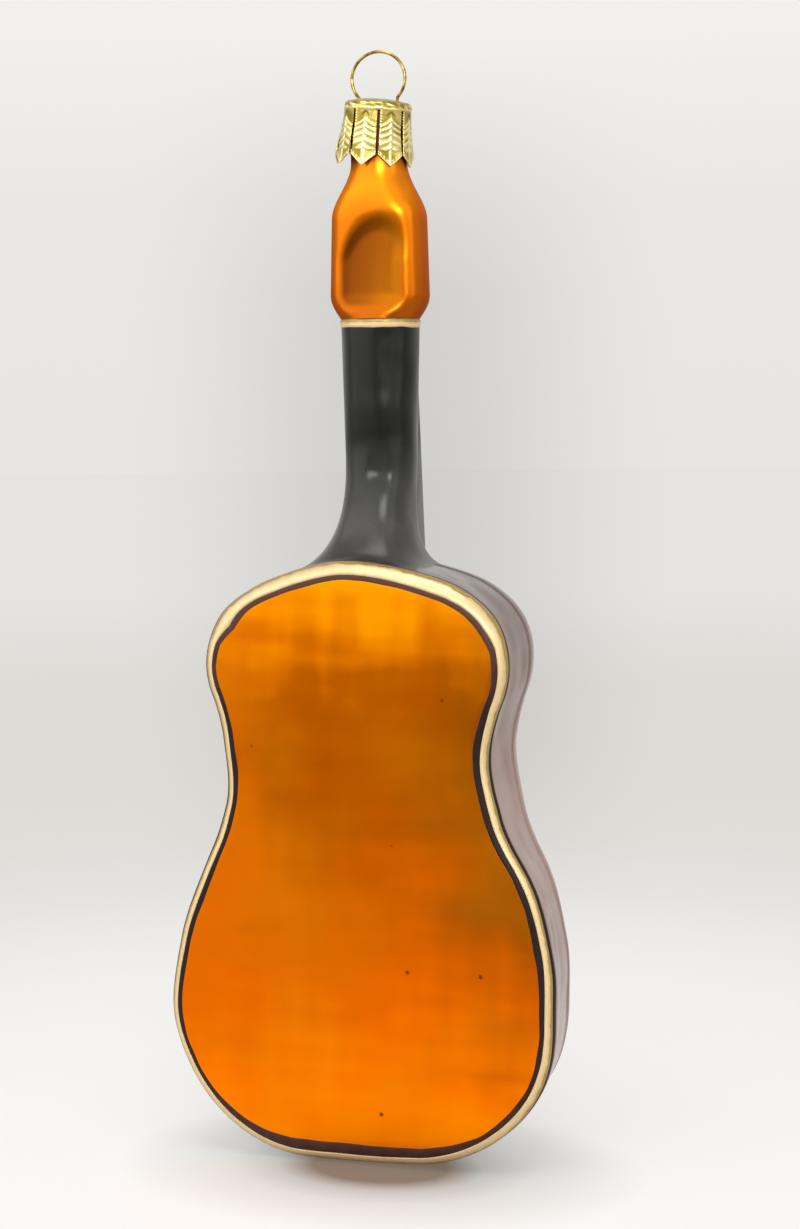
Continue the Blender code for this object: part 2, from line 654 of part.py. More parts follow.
def make_wire():
    """A round wire carried along its path, which lies in the plane of the loop."""
    path = wire_path()
    rings = []
    for i, (x, z) in enumerate(path):
        before = path[max(i - 1, 0)]
        after = path[min(i + 1, len(path) - 1)]
        length = math.hypot(after[0] - before[0], after[1] - before[1])
        across = ((after[1] - before[1]) / length, -(after[0] - before[0]) / length)
        ring = []
        for k in range(WIRE_SIDES):
            turn = 2.0 * math.pi * k / WIRE_SIDES
            out, side = WIRE_RADIUS * math.cos(turn), WIRE_RADIUS * math.sin(turn)
            ring.append((x + out * across[0], side, z + out * across[1]))
        rings.append(ring)
    return loft(bmesh.new(), rings)


def build_gold_lines():
    beside_heel = NECK_HALF_WIDTH + HEEL_SPREAD + LINE_HEEL_GAP
    lines = {
        "back_gold_line": edge_line(BACK_EDGE_RADIUS, BACK_DEPTH, BACK_DRAFT, -1.0, 0.0),
        "front_gold_line": edge_line(FRONT_EDGE_RADIUS, FRONT_DEPTH, FRONT_DRAW_IN, 1.0, beside_heel),
        "nut_gold_band": make_nut_band(),
        "soundhole_gold_ring": make_rosette(),
    }
    for name, bm in lines.items():
        add_object(name, bm, 0.0, make_material(f"{name}_paint", (0.72, 0.52, 0.18), 0.35, 0.9))


def build_strings():
    for number in range(STRING_COUNT):
        place = number - 0.5 * (STRING_COUNT - 1)
        name = f"string_{number + 1}"
        wire = make_material(f"{name}_wire", (0.72, 0.55, 0.22), 0.3, 1.0)
        add_object(name, make_string(place), 0.0, wire)


def main():
    remove_everything()
    build_glass(make_material("lacquered_glass", (0.72, 0.27, 0.02), 0.3, 0.3))
    build_gold_lines()
    build_strings()
    build_cap(make_material("gilt_cap_sheet", (0.68, 0.58, 0.27), 0.3, 1.0))
    wire = make_material("gilt_wire", (0.62, 0.44, 0.14), 0.25, 1.0)
    add_object("hanging_wire", make_wire(), CAP_CROWN_Z, wire)


main()
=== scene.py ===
"""Looks of a hanging blown-glass ornament shaped as a six-string guitar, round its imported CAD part.

Every shape is worked out in millimetres, with heights counted from the lowest point of the guitar's
body, and is put into the part's frame, in metres, as it becomes a mesh. X runs across the guitar, -Y is
its plain back and +Y its strung front.
"""

import math
from functools import partial

import bmesh
import bpy
import numpy as np
from mathutils import Euler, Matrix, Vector


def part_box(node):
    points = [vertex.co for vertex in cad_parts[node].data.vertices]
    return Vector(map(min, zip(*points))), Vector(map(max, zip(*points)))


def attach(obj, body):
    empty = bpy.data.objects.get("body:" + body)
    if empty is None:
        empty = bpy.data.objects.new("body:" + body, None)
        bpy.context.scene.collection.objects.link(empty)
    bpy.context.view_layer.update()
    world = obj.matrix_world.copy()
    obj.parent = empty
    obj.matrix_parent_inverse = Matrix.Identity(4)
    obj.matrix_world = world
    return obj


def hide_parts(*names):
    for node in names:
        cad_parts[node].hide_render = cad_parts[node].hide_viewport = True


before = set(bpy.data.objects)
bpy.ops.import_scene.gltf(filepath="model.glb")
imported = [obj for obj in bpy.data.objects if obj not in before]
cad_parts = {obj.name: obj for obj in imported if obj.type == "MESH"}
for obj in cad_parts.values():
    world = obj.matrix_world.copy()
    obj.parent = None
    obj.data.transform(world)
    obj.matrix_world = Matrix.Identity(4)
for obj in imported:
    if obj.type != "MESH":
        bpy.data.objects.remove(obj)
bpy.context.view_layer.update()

MM = 0.001
BODY_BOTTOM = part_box("glass_shell")[0].z
QUARTER = 0.5 * math.pi
FULL_TURN = 2.0 * math.pi

# Body: outline arcs, depths and edges
BODY_LENGTH = 88.0
LOWER_HALF_WIDTH = 29.7
WAIST_HALF_WIDTH = 20.25
UPPER_HALF_WIDTH = 23.05
LOWER_NARROWING = 1.4
LOWER_CORNER_RADIUS = 22.4
LOWER_SIDE_RADIUS = 49.5
UPPER_RADIUS = 12.95
BOTTOM_RADIUS = 160.0
TOP_RADIUS = 43.9
BACK_DEPTH = 14.8
FRONT_DEPTH = 8.0
BACK_EDGE = 2.6
BACK_DRAFT = 0.1
FRONT_EDGE = 1.8
FRONT_DRAW_IN = 2.2
SEAM_INSET = 0.15
SEAM_RIDGE, SEAM_REACH = 0.12, 0.2
GROOVE, GROOVE_Y, GROOVE_REACH = 0.12, 0.62, 0.18
OUTLINE_HALF = 300
PANEL_CENTRE = 45.0
PANEL_SWELL, PANEL_SWELL_LENGTH = 0.09, 17.0

# Unevenness of the hand-blown body: its sway at some heights, its pinched shoulders, the peak at its top
# and the sag at its bottom
SWAY_HEIGHTS = (-10.0, 2.0, 12.0, 22.0, 32.0, 42.0, 52.0, 62.0, 72.0, 80.0, 88.0, 99.0)
SWAYS = (-0.06, -0.06, 0.17, -0.14, 0.39, 0.83, 0.29, -0.59, -0.55, -0.28, 0.3, 0.3)
PINCH, PINCH_Z, PINCH_REACH = 0.035, 84.8, 2.4
PEAK, PEAK_X, PEAK_REACH, PEAK_START_Z, PEAK_RUN = 0.7, -3.0, 8.0, 80.0, 7.0
SAG, SAG_X, SAG_REACH, SAG_TOP_Z = 0.3, -13.0, 9.0, 8.0

# Neck, heel and head
NECK_LENGTH = 35.4
NECK_HALF_WIDTH = 4.8
NUT_HALF_WIDTH = 5.75
NECK_BACK = 5.5
NECK_FRONT = 4.8
NECK_FRONT_AT_BODY = 5.4
NECK_SQUARENESS = 2.3
HEEL_HEIGHT = 16.0
HEEL_SIDE = 5.4
HEEL_BACK = 6.7
HEEL_FRONT = 0.8
HEEL_SQUARENESS = 1.4
HEEL_LEAN, HEEL_LEAN_BEND = 2.4, 0.45
HEEL_ROOT = 1.5
DENT, DENT_X, DENT_RISE, DENT_REACH_X, DENT_REACH_Z = 0.7, 1.0, 12.8, 1.9, 2.6
HEAD_LENGTH = 22.6
HEAD_HALF_WIDTH = 7.25
HEAD_TOP_HALF_WIDTH = 6.6
HEAD_BACK = 5.0
HEAD_FRONT = 4.8
HEAD_CORNER = 3.6
HEAD_SHOULDER = 8.0
HEAD_SQUARENESS = 3.2
DISH_DEPTH = 0.6
DISH_HALF_WIDTH = 5.7
DISH_MARGIN = 2.8
DISH_TOP_DROP = 6.2
DISH_ARCH = 8.0
DISH_ARCH_LEAN = 1.8
DISH_FOOT, DISH_FOOT_RUN = 0.7, 3.0
LIP_RADIUS = 4.15
LIP_LENGTH = 8.2
WALL = 0.75
NUT_Z = BODY_LENGTH + NECK_LENGTH
HEAD_TOP_Z = NUT_Z + HEAD_LENGTH
LIP_Z = HEAD_TOP_Z + LIP_LENGTH
BORE_ROWS = (150.0, 146.0, 142.0, 139.0, 138.6)
RING_POINTS = 112

# Front relief and strings
SOUNDHOLE_Z = 56.5
SOUNDHOLE_RADIUS = 7.6
SOUNDHOLE_RINGS = (0.985, 0.965, 0.94, 0.6, 0.3, 0.0)
SOUNDHOLE_DEPTHS = (0.08, 0.24, 0.3, 0.3, 0.3, 0.3)
ROSETTE_RADIUS, ROSETTE_POINTS = 8.3, 160
BOARD_END_Z = 67.0
BOARD_KNEE_Z = BODY_LENGTH - FRONT_DRAW_IN - FRONT_EDGE
BOARD_NUT_Z = NUT_Z - 1.9
BOARD_RISE = 0.7
BOARD_END_HALF, BOARD_NUT_HALF = 4.75, 3.95
BOARD_BACK_Y = 2.0
FRETS, FRET_RADIUS, FRET_MARGIN = 14, 0.16, 0.35
BRIDGE_Z = 29.0
BRIDGE_HALF = (11.3, 1.25, 2.3)
SADDLE_HALF, SADDLE_RADIUS = 7.0, 0.22
STRINGS, STRING_RADIUS = 6, 0.11
STRING_BRIDGE_SPACING, STRING_NUT_SPACING = 2.1, 1.15

# Paint: how high lines stand, how far they reach into the glass, how far brown runs under gold, and how
# far to each side of the neck the front's lines stop
LINE_HEIGHT, BAND_HEIGHT, BROWN_HEIGHT, LINE_SUNK = 0.14, 0.16, 0.05, 0.05
LINE_COLUMNS = 9
OVERLAP = 0.12
GOLD_GAP, BROWN_GAP = 8.95, 8.6

# Cap and wire
CAP_RADIUS = 4.9
CAP_DOME = 0.45
CAP_RIM = 0.8
CAP_SLIT_TOP = 1.7
CAP_SIDE_END = 8.0
CAP_POINT = 1.7
CAP_FLARE = 0.55
CAP_SHEET = 0.2
CAP_SKIRT_ROWS = 62
CAP_CROWN_Z = LIP_Z + 1.25
CAP_ANGLES = (math.radians(3.5), math.radians(5.3), math.radians(-3.0))
HOLE_RADIUS, HOLE_SPREAD, DRILL_HALF_LENGTH = 0.53, 2.9, 2.5
LAPPETS = 8
LAPPET_SLIT = 0.4
LAPPET_COLUMNS = 35
LAPPET_SPLAYS = (0.0, 0.16, 0.05, 0.12, 0.4, 0.15, 0.05, 0.0)
VEIN_HEIGHT, VEIN_PITCH = 0.15, 1.0
RIB_HEIGHT, DENT_DEPTH = 0.12, 0.12
BEAD_HEIGHT, BEAD_PITCH = 0.10, 0.38
BORDER_HEIGHT, TIP_BEAD_HEIGHT, TIP_BEAD_PITCH = 0.10, 0.09, 0.44
WIRE_RADIUS = 0.23
LOOP_HALF_WIDTH = 4.05
LOOP_HALF_HEIGHT = 3.9
LOOP_RISE = 2.8
LOOP_END = math.radians(-42.0)
LEG_KNOTS = [(2.2, 0.0, -19.5), (2.5, 0.0, -15.0), (2.8, 0.0, -10.5), (2.8, 0.0, -2.2), (HOLE_SPREAD, 0.0, -0.15)]


# Shaping by numbers


def smooth(t):
    """0 before 0, 1 after 1, and 3t^2 - 2t^3 between."""
    t = np.clip(t, 0.0, 1.0)
    return t * t * (3.0 - 2.0 * t)


def mix(a, b, t):
    """a plus t times the way to b."""
    return a + (b - a) * t


def xyz(x, y, z):
    """Points from their three coordinates, each spread over the others' rows and columns."""
    return np.stack(np.broadcast_arrays(x, y, z), axis=-1)


def full_turn(count):
    """Angles at even steps all the way round, from 0."""
    return np.linspace(0.0, FULL_TURN, count, endpoint=False)


RING_TURNS = full_turn(RING_POINTS)[None, :]


def hump(t, width):
    """A bell: e to the minus (t / width) squared."""
    return np.exp(-((t / width) ** 2))


def wobble(seed, count, waves):
    """A hand's unsteadiness round a loop of count steps: twelve sines of whole, growing wave numbers,
    each weaker as its waves shorten, together reaching about 1."""
    sines = 12
    draw = np.random.default_rng(seed)
    numbers = np.geomspace(*waves, sines).round()[:, None]
    phases = draw.uniform(0.0, FULL_TURN, (sines, 1))
    weights = draw.uniform(0.5, 1.0, (sines, 1)) / numbers**0.6
    turn = full_turn(count)[None, :]
    total = (weights * np.sin(numbers * turn + phases)).sum(axis=0)
    return total / np.abs(total).max()


def ripple(x, z, size, seed):
    """Uneven blown glass: the mean of six plane sine waves of about this length, in mixed directions."""
    sines = 6
    draw = np.random.default_rng(seed)
    total = 0.0
    for _ in range(sines):
        angle, phase, stretch = draw.uniform(0.0, FULL_TURN), draw.uniform(0.0, 6.3), draw.uniform(0.7, 1.5)
        along = x * math.cos(angle) + z * math.sin(angle)
        total = total + np.sin(along * FULL_TURN / (size * stretch) + phase)
    return total / sines


def outline_arcs(narrowing):
    """Centres, radii and turning angles of the tangent arcs on the +X side, from bottom to top.

    The waist arc touches both bouts, so its radius is the same reckoned from either, and it counts as
    negative. Two arcs meet where their centres line up with the outward normal.
    """
    lower_half = LOWER_HALF_WIDTH - narrowing
    corner_x, lower_x = lower_half - LOWER_CORNER_RADIUS, lower_half - LOWER_SIDE_RADIUS
    upper_x = UPPER_HALF_WIDTH - UPPER_RADIUS
    lower_z = BOTTOM_RADIUS - math.sqrt((BOTTOM_RADIUS - LOWER_CORNER_RADIUS) ** 2 - corner_x**2)
    upper_z = BODY_LENGTH - TOP_RADIUS + math.sqrt((TOP_RADIUS - UPPER_RADIUS) ** 2 - upper_x**2)
    a_low = (WAIST_HALF_WIDTH - lower_x) ** 2 - LOWER_SIDE_RADIUS**2
    a_up = (WAIST_HALF_WIDTH - upper_x) ** 2 - UPPER_RADIUS**2
    b_low, b_up = 2.0 * (lower_half - WAIST_HALF_WIDTH), 2.0 * (UPPER_HALF_WIDTH - WAIST_HALF_WIDTH)
    terms = [
        1.0 / b_low - 1.0 / b_up,
        2.0 * (upper_z / b_up - lower_z / b_low),
        (a_low + lower_z**2) / b_low - (a_up + upper_z**2) / b_up,
    ]
    waist_z = min(np.roots(terms).real, key=lambda z: abs(z - 0.5 * (lower_z + upper_z)))
    waist = (a_low + (waist_z - lower_z) ** 2) / b_low
    arcs = [
        (0.0, BOTTOM_RADIUS, BOTTOM_RADIUS),
        (corner_x, lower_z, LOWER_CORNER_RADIUS),
        (lower_x, lower_z, LOWER_SIDE_RADIUS),
        (WAIST_HALF_WIDTH + waist, waist_z, -waist),
        (upper_x, upper_z, UPPER_RADIUS),
        (0.0, BODY_LENGTH - TOP_RADIUS, TOP_RADIUS),
    ]
    centres, radii = np.array(arcs)[:, :2], np.array(arcs)[:, 2]
    normals = np.diff(centres, axis=0) / (radii[:-1] - radii[1:])[:, None]
    turns = np.concatenate([[-QUARTER], np.arctan2(normals[:, 1], normals[:, 0]), [QUARTER]])
    return centres, radii, turns


def outline(narrowing):
    """The outline's points and outward normals at even steps, anticlockwise from the bottom.

    A point is its arc's centre plus the radius along the normal, and the -X side mirrors the +X side.
    """
    centres, radii, turns = outline_arcs(narrowing)
    sweep = np.diff(turns)
    share = np.concatenate([[0.0], np.cumsum(np.abs(radii * sweep))])
    share /= share[-1]
    along = np.linspace(0.0, 1.0, OUTLINE_HALF + 1)
    arc = np.clip(np.searchsorted(share, along, side="right") - 1, 0, len(radii) - 1)
    angle = turns[arc] + sweep[arc] * (along - share[arc]) / (share[arc + 1] - share[arc])
    normal = np.stack([np.cos(angle), np.sin(angle)], axis=1)
    points = centres[arc] + radii[arc][:, None] * normal
    points[[0, -1], 0] = 0.0
    mirror = np.array([-1.0, 1.0])
    return tuple(np.concatenate([a, a[-2:0:-1] * mirror]) for a in (points, normal))


BACK_OUTLINE = outline(0.0)
SEAM_OUTLINE = outline(LOWER_NARROWING)
OUTLINE_POINTS = 2 * OUTLINE_HALF
TOP_FULLNESS = 4.0
FRONT_FULLNESS = mix(2.0, TOP_FULLNESS, smooth((BACK_OUTLINE[0][:, 1] - 28.0) / 42.0))


def sway(z):
    """How far to one side the hand-blown body stands at a height, in smooth steps between measures."""
    place = np.clip(np.searchsorted(SWAY_HEIGHTS, z, side="right") - 1, 0, len(SWAYS) - 2)
    low, high = np.take(SWAY_HEIGHTS, place), np.take(SWAY_HEIGHTS, place + 1)
    return mix(np.take(SWAYS, place), np.take(SWAYS, place + 1), smooth((z - low) / (high - low)))


def unevenness(x, z):
    """How far the hand-blown outline is off its arcs in x and z: it sways, its shoulders are pinched, its
    top rises to a soft point under the heel and its bottom sags to one side."""
    rise = PEAK * hump(x - PEAK_X, PEAK_REACH) * smooth((z - PEAK_START_Z) / PEAK_RUN)
    sag = SAG * hump(x - SAG_X, SAG_REACH) * smooth((SAG_TOP_Z - z) / SAG_TOP_Z)
    return sway(z) - PINCH * x * hump(z - PINCH_Z, PINCH_REACH), rise - sag


def on_outline(inset, depth):
    """x and z of the outline drawn in by inset at a depth: it blends evenly from the back to the seam,
    with its unevenness."""
    share = np.clip(1.0 + depth / BACK_DEPTH, 0.0, 1.0)[..., None]
    back, seam = (points - inset[..., None] * normals for points, normals in (BACK_OUTLINE, SEAM_OUTLINE))
    flat = mix(back, seam, share)
    return flat + np.stack(unevenness(flat[..., 0], flat[..., 1]), axis=-1)


def front_inset(depth, fullness=FRONT_FULLNESS):
    """How far the front half draws in: it grows with the depth in front of the seam to the power
    fullness, which goes from 2 up to 28 mm high to 4 from 70 mm on."""
    share = np.maximum(depth, 0.0) / (FRONT_DEPTH - FRONT_EDGE)
    return SEAM_INSET + (FRONT_DRAW_IN - SEAM_INSET) * share**fullness


def edge_surface(v, lift, front=False):
    """Points at a distance v round a panel's rounded edge, lifted off it.

    v counts from where the flat panel ends: below 0 it lies on the panel, then on a quarter round, and
    past that on the side, which bulges slightly to the seam.
    """
    shape = np.broadcast_shapes(np.shape(v), np.shape(lift), (1, OUTLINE_POINTS))
    v, lift = np.broadcast_to(v, shape), np.broadcast_to(lift, shape)
    radius = FRONT_EDGE if front else BACK_EDGE
    turn = np.clip(v / radius, 0.0, QUARTER)
    past = np.maximum(v - QUARTER * radius, 0.0)
    reach = (radius + lift) * np.sin(turn)
    rise = (radius + lift) * np.cos(turn)
    if front:
        depth = FRONT_DEPTH - radius + rise - past
        inset = front_inset(FRONT_DEPTH - radius - past) + radius - reach
    else:
        depth = radius - BACK_DEPTH - rise + past
        inset = BACK_DRAFT + (SEAM_INSET - BACK_DRAFT) * past / (BACK_DEPTH - radius) + radius - reach
    flat = on_outline(inset + np.maximum(-v, 0.0), depth)
    return xyz(flat[..., 0], depth, flat[..., 1])


front_edge_surface = partial(edge_surface, front=True)


def panel(rows, centre_z, rim, first_radius=0.0):
    """A flat panel as rows of points from a circle round its centre out to its rim, in straight lines."""
    centre = np.array([0.0, rim[0, 1], centre_z])
    spokes = rim - centre
    start = centre + spokes / np.linalg.norm(spokes, axis=1, keepdims=True) * first_radius
    return mix(start[None], rim[None], rows[:, None, None])


def body_points():
    """The body's rows from the middle of its back, over the edges, side and seam, to the soundhole, and
    the number of each row's finish: 0 amber, 1 maroon, 2 black."""
    back = panel(np.linspace(0.0, 1.0, 28)[:-1], PANEL_CENTRE, edge_surface(np.zeros((1, 1)), 0.0)[0])
    fade = smooth(np.linspace(1.6, 0.0, 27))[:, None]
    back[..., 1] += PANEL_SWELL * fade * ripple(back[..., 0], back[..., 2], PANEL_SWELL_LENGTH, 4)
    edge = edge_surface(np.linspace(0.0, QUARTER * BACK_EDGE, 15)[:, None], 0.0)
    behind = np.linspace(BACK_EDGE - BACK_DEPTH, -0.9, 10)[1:]
    ahead = np.linspace(0.9, FRONT_DEPTH - FRONT_EDGE, 9)
    depth = np.concatenate([behind, np.linspace(-0.6, 0.6, 13), ahead])[:, None]
    inset = np.where(depth < 0.0, SEAM_INSET, front_inset(depth)) - SEAM_RIDGE * hump(depth, SEAM_REACH)
    inset = inset + GROOVE * hump(depth - GROOVE_Y, GROOVE_REACH)
    flat = on_outline(inset, depth)
    side = xyz(flat[..., 0], depth, flat[..., 1])
    front_edge = front_edge_surface(np.linspace(QUARTER * FRONT_EDGE, 0.0, 11)[1:, None], 0.0)
    front = panel(np.linspace(1.0, 0.0, 25)[1:], SOUNDHOLE_Z, front_edge[-1], SOUNDHOLE_RADIUS)
    centre = np.array([0.0, FRONT_DEPTH, SOUNDHOLE_Z])
    hole = centre + (front[-1] - centre) * np.array(SOUNDHOLE_RINGS)[:, None, None]
    hole[..., 1] -= np.array(SOUNDHOLE_DEPTHS)[:, None]
    rows = [back, edge, side, front_edge, front, hole]
    ends = np.cumsum([len(row) for row in rows])
    zones = np.zeros(ends[-1] - 1, int)
    zones[ends[0] + 9 : ends[2] + 5] = 1
    zones[ends[4] - 1 :] = 2
    return np.concatenate(rows), zones[:, None]


def neck_sizes(z):
    """Half width, depth behind, depth in front and squareness of the neck and the head at a height.

    The neck widens evenly to the nut. Above it the corners open along a quarter sine, the head narrows
    evenly, and its shoulders close to the round glass neck by a smooth step.
    """
    along = np.clip((z - BODY_LENGTH) / NECK_LENGTH, 0.0, 1.0)
    rise = np.sin(QUARTER * np.clip((z - NUT_Z) / HEAD_CORNER, 0.0, 1.0))
    fall = smooth((HEAD_TOP_Z - z) / HEAD_SHOULDER)
    head = mix(HEAD_HALF_WIDTH, HEAD_TOP_HALF_WIDTH, (z - NUT_Z) / HEAD_LENGTH)
    width = mix(mix(NECK_HALF_WIDTH, NUT_HALF_WIDTH, along), head, rise)
    back = mix(NECK_BACK, HEAD_BACK, rise)
    front = mix(mix(NECK_FRONT_AT_BODY, NECK_FRONT, along), HEAD_FRONT, rise)
    square = mix(NECK_SQUARENESS, HEAD_SQUARENESS, rise)
    return [mix(LIP_RADIUS, size, fall) for size in (width, back, front)] + [mix(2.0, square, fall)]


def dish(x, z):
    """Depth of the shallow dish in the back of the head: smooth steps in from its sides and its foot,
    with an arch at the top where the distance is reckoned round a corner."""
    above = np.maximum(z - HEAD_TOP_Z + DISH_TOP_DROP + DISH_ARCH, 0.0) / DISH_ARCH
    edge = 1.0 - np.hypot((x - DISH_ARCH_LEAN * above) / DISH_HALF_WIDTH, above)
    foot = smooth((z - NUT_Z - DISH_FOOT) / DISH_FOOT_RUN)
    return smooth(edge * DISH_HALF_WIDTH / DISH_MARGIN) * foot


def section(sizes, turn):
    """A superellipse: each axis is its half size times the cosine or sine to the power 2 / squareness."""
    width, back, front, square = sizes
    cosine, sine = np.cos(turn), np.sin(turn)
    x = width * np.sign(cosine) * np.abs(cosine) ** (2.0 / square)
    y = np.where(sine > 0.0, front, back) * np.sign(sine) * np.abs(sine) ** (2.0 / square)
    return x, y


def body_top(x, y):
    """Height of the body's top at a place: the top arc drawn in as the side is at that depth."""
    radius = TOP_RADIUS - np.where(y > 0.0, front_inset(y, TOP_FULLNESS), SEAM_INSET)
    z = BODY_LENGTH - TOP_RADIUS + np.sqrt(radius**2 - x**2)
    return z + unevenness(x, z)[1]


def heel_dent(x, y, z):
    """A shallow dimple that the blower left in the back of the neck just over the heel."""
    away = hump(x - DENT_X, DENT_REACH_X) * hump(z - BODY_LENGTH - DENT_RISE, DENT_REACH_Z)
    return DENT * away * (y < 0.0)


def heel_points():
    """The heel as a fillet from the body's top to the neck: along a quarter turn a, its height is
    1 - cos a and its spread is 1 - sin a, to the power 1.5 at its sides. Its foot leans to -X."""
    turn = np.concatenate([[0.0], np.linspace(0.0, QUARTER, 30)])[:, None]
    lift = HEEL_HEIGHT * (1.0 - np.cos(turn))
    left = 1.0 - np.sin(turn)
    width, back, front, square = neck_sizes(BODY_LENGTH + lift)
    sizes = (
        width + HEEL_SIDE * left**1.5,
        back + HEEL_BACK * left,
        front + HEEL_FRONT * left,
        square + HEEL_SQUARENESS * left**1.2,
    )
    x, y = section(sizes, RING_TURNS)
    x = x - HEEL_LEAN * left * (1.0 - HEEL_LEAN_BEND * left)
    z = mix(body_top(x, y) + lift, BODY_LENGTH + lift, smooth(turn / QUARTER))
    z[0] -= HEEL_ROOT
    return xyz(x, y + heel_dent(x, y, z), z)


def neck_points():
    """Heel, neck, head, fire-polished lip and the bore down inside it, from the bottom up, with each
    row's finish, 0 black, 1 copper and 2 silver, and how deep in the dish each point is."""
    half_wall = 0.5 * WALL
    stops = [BODY_LENGTH + HEEL_HEIGHT, NUT_Z, NUT_Z + HEAD_CORNER, HEAD_TOP_Z - HEAD_SHOULDER, HEAD_TOP_Z]
    stops.append(LIP_Z - half_wall)
    counts = [14, 16, 24, 26, 8]
    parts = [np.linspace(a, b, n, endpoint=False) for a, b, n in zip(stops, stops[1:], counts)]
    z = np.concatenate([*parts, stops[-1:]])[1:, None]
    x, y = section(neck_sizes(z), RING_TURNS)
    hollow = np.where(y < 0.0, dish(x, z), 0.0)
    y = y + DISH_DEPTH * hollow + heel_dent(x, y, z)
    outside = xyz(x, y, z)
    rim = np.linspace(0.0, math.pi, 9)[1:, None]
    heights = np.concatenate([LIP_Z - half_wall + half_wall * np.sin(rim), np.array(BORE_ROWS)[:, None]])
    bore = np.full((len(BORE_ROWS), 1), LIP_RADIUS - WALL)
    bore[-1] = 0.0
    radii = np.concatenate([LIP_RADIUS - half_wall + half_wall * np.cos(rim), bore])
    lip = xyz(radii * np.cos(RING_TURNS), radii * np.sin(RING_TURNS), heights)
    heel = heel_points()
    foot = heel[:1].mean(axis=1, keepdims=True) + 0.0 * heel[:1]
    points = np.concatenate([foot, heel, outside, lip])
    hollows = np.zeros(points.shape[:2])
    hollows[1 + len(heel) : 1 + len(heel) + len(outside)] = hollow
    zones = np.zeros(len(points) - 1, int)
    nut_row = 1 + len(heel) + int((z[:, 0] < NUT_Z - 0.1).sum())
    zones[nut_row:] = 1
    zones[3 - len(radii) :] = 2
    return points, zones[:, None], hollows


def neck_surface(z, lift):
    """Points round the neck at a height, lifted off it."""
    *halves, square = neck_sizes(z)
    return xyz(*section([*(half + lift for half in halves), square], RING_TURNS), z)


def front_ring_surface(radius, lift):
    """Points on a circle round the soundhole, lifted off the front panel."""
    turn = full_turn(ROSETTE_POINTS)[None, :]
    x, z = radius * np.cos(turn), SOUNDHOLE_Z + radius * np.sin(turn)
    return xyz(x, FRONT_DEPTH + lift, z)


def painted_line(surface, start, stop, height):
    """A line of paint laid along a surface from v = start to v = stop.

    Across it, f from 0 to 1, the paint stands height times 1 - (2f - 1)^4 over the surface, less what it
    is sunk, and it closes a little under the surface. Also gives f for each point.
    """
    across = np.linspace(0.0, 1.0, LINE_COLUMNS)[:, None]
    share = np.concatenate([across, across[::-1]])
    top = height * (1.0 - (2.0 * across - 1.0) ** 4) - 0.2 * LINE_SUNK
    lift = np.concatenate([top, np.full_like(across, -LINE_SUNK)])
    return surface(start + (stop - start) * share, lift), share


def tube(path, radius, sides, across=(0.0, 1.0, 0.0)):
    """A round rod along a path that lies square to the direction across, closed by its rounded ends.

    At each point the ring is the radius times cosine along the path's own normal plus sine along across.
    """
    tangent = np.gradient(path, axis=0)
    tangent /= np.linalg.norm(tangent, axis=1, keepdims=True)
    normal = np.cross(tangent, np.broadcast_to(np.array(across), path.shape))
    normal /= np.linalg.norm(normal, axis=1, keepdims=True)
    across = np.cross(normal, tangent)
    turn = full_turn(sides)[None, :, None]
    first, last = tangent[:1] * radius, tangent[-1:] * radius
    ends = (path[:1] - first, path[:1] - 0.5 * first), (path[-1:] + 0.5 * last, path[-1:] + last)
    path = np.concatenate([*ends[0], path, *ends[1]])
    normal, across = (np.concatenate([a[:1], a[:1], a, a[-1:], a[-1:]]) for a in (normal, across))
    size = np.full((len(path), 1, 1), radius)
    size[[0, -1]], size[[1, -2]] = 0.0, 0.87 * radius
    return path[:, None] + size * (np.cos(turn) * normal[:, None] + np.sin(turn) * across[:, None])


def smooth_path(points, steps):
    """A Catmull-Rom curve through the points, whose first and last points only steer it."""
    points = np.array(points, float)
    t = np.linspace(0.0, 1.0, steps, endpoint=False)[:, None]
    weights = [-t + 2 * t**2 - t**3, 2 - 5 * t**2 + 3 * t**3, t + 4 * t**2 - 3 * t**3, -(t**2) + t**3]
    spans = np.stack([points[:-3], points[1:-2], points[2:-1], points[3:]])
    path = (0.5 * np.stack(weights)[:, None] * spans[:, :, None]).sum(axis=0).reshape(-1, points.shape[1])
    return np.concatenate([path, points[-2:-1]])


def bridge_points():
    """The bridge as a closed superellipsoid: a superellipse of longitude that grows and shrinks with the
    cosine of another one's latitude."""
    width, depth, height = BRIDGE_HALF
    ring, y = section((1.0, depth, depth, 2.6), np.linspace(-QUARTER, QUARTER, 20)[:, None])
    x, z = section((width, height, height, 6.0), full_turn(48)[None, :])
    return xyz(ring * x, y, ring * z) + np.array([0.0, FRONT_DEPTH - 0.15, BRIDGE_Z])


# Meshes and objects


def grid_faces(rows, columns, closed):
    """The faces of a grid, as the numbers of their corners. closed joins the last row or column to the
    first."""
    number = np.arange(rows * columns).reshape(rows, columns)
    number = np.concatenate([number, number[:1]]) if closed[0] else number
    number = np.concatenate([number, number[:, :1]], axis=1) if closed[1] else number
    return np.stack([number[:-1, :-1], number[:-1, 1:], number[1:, 1:], number[1:, :-1]], axis=-1)


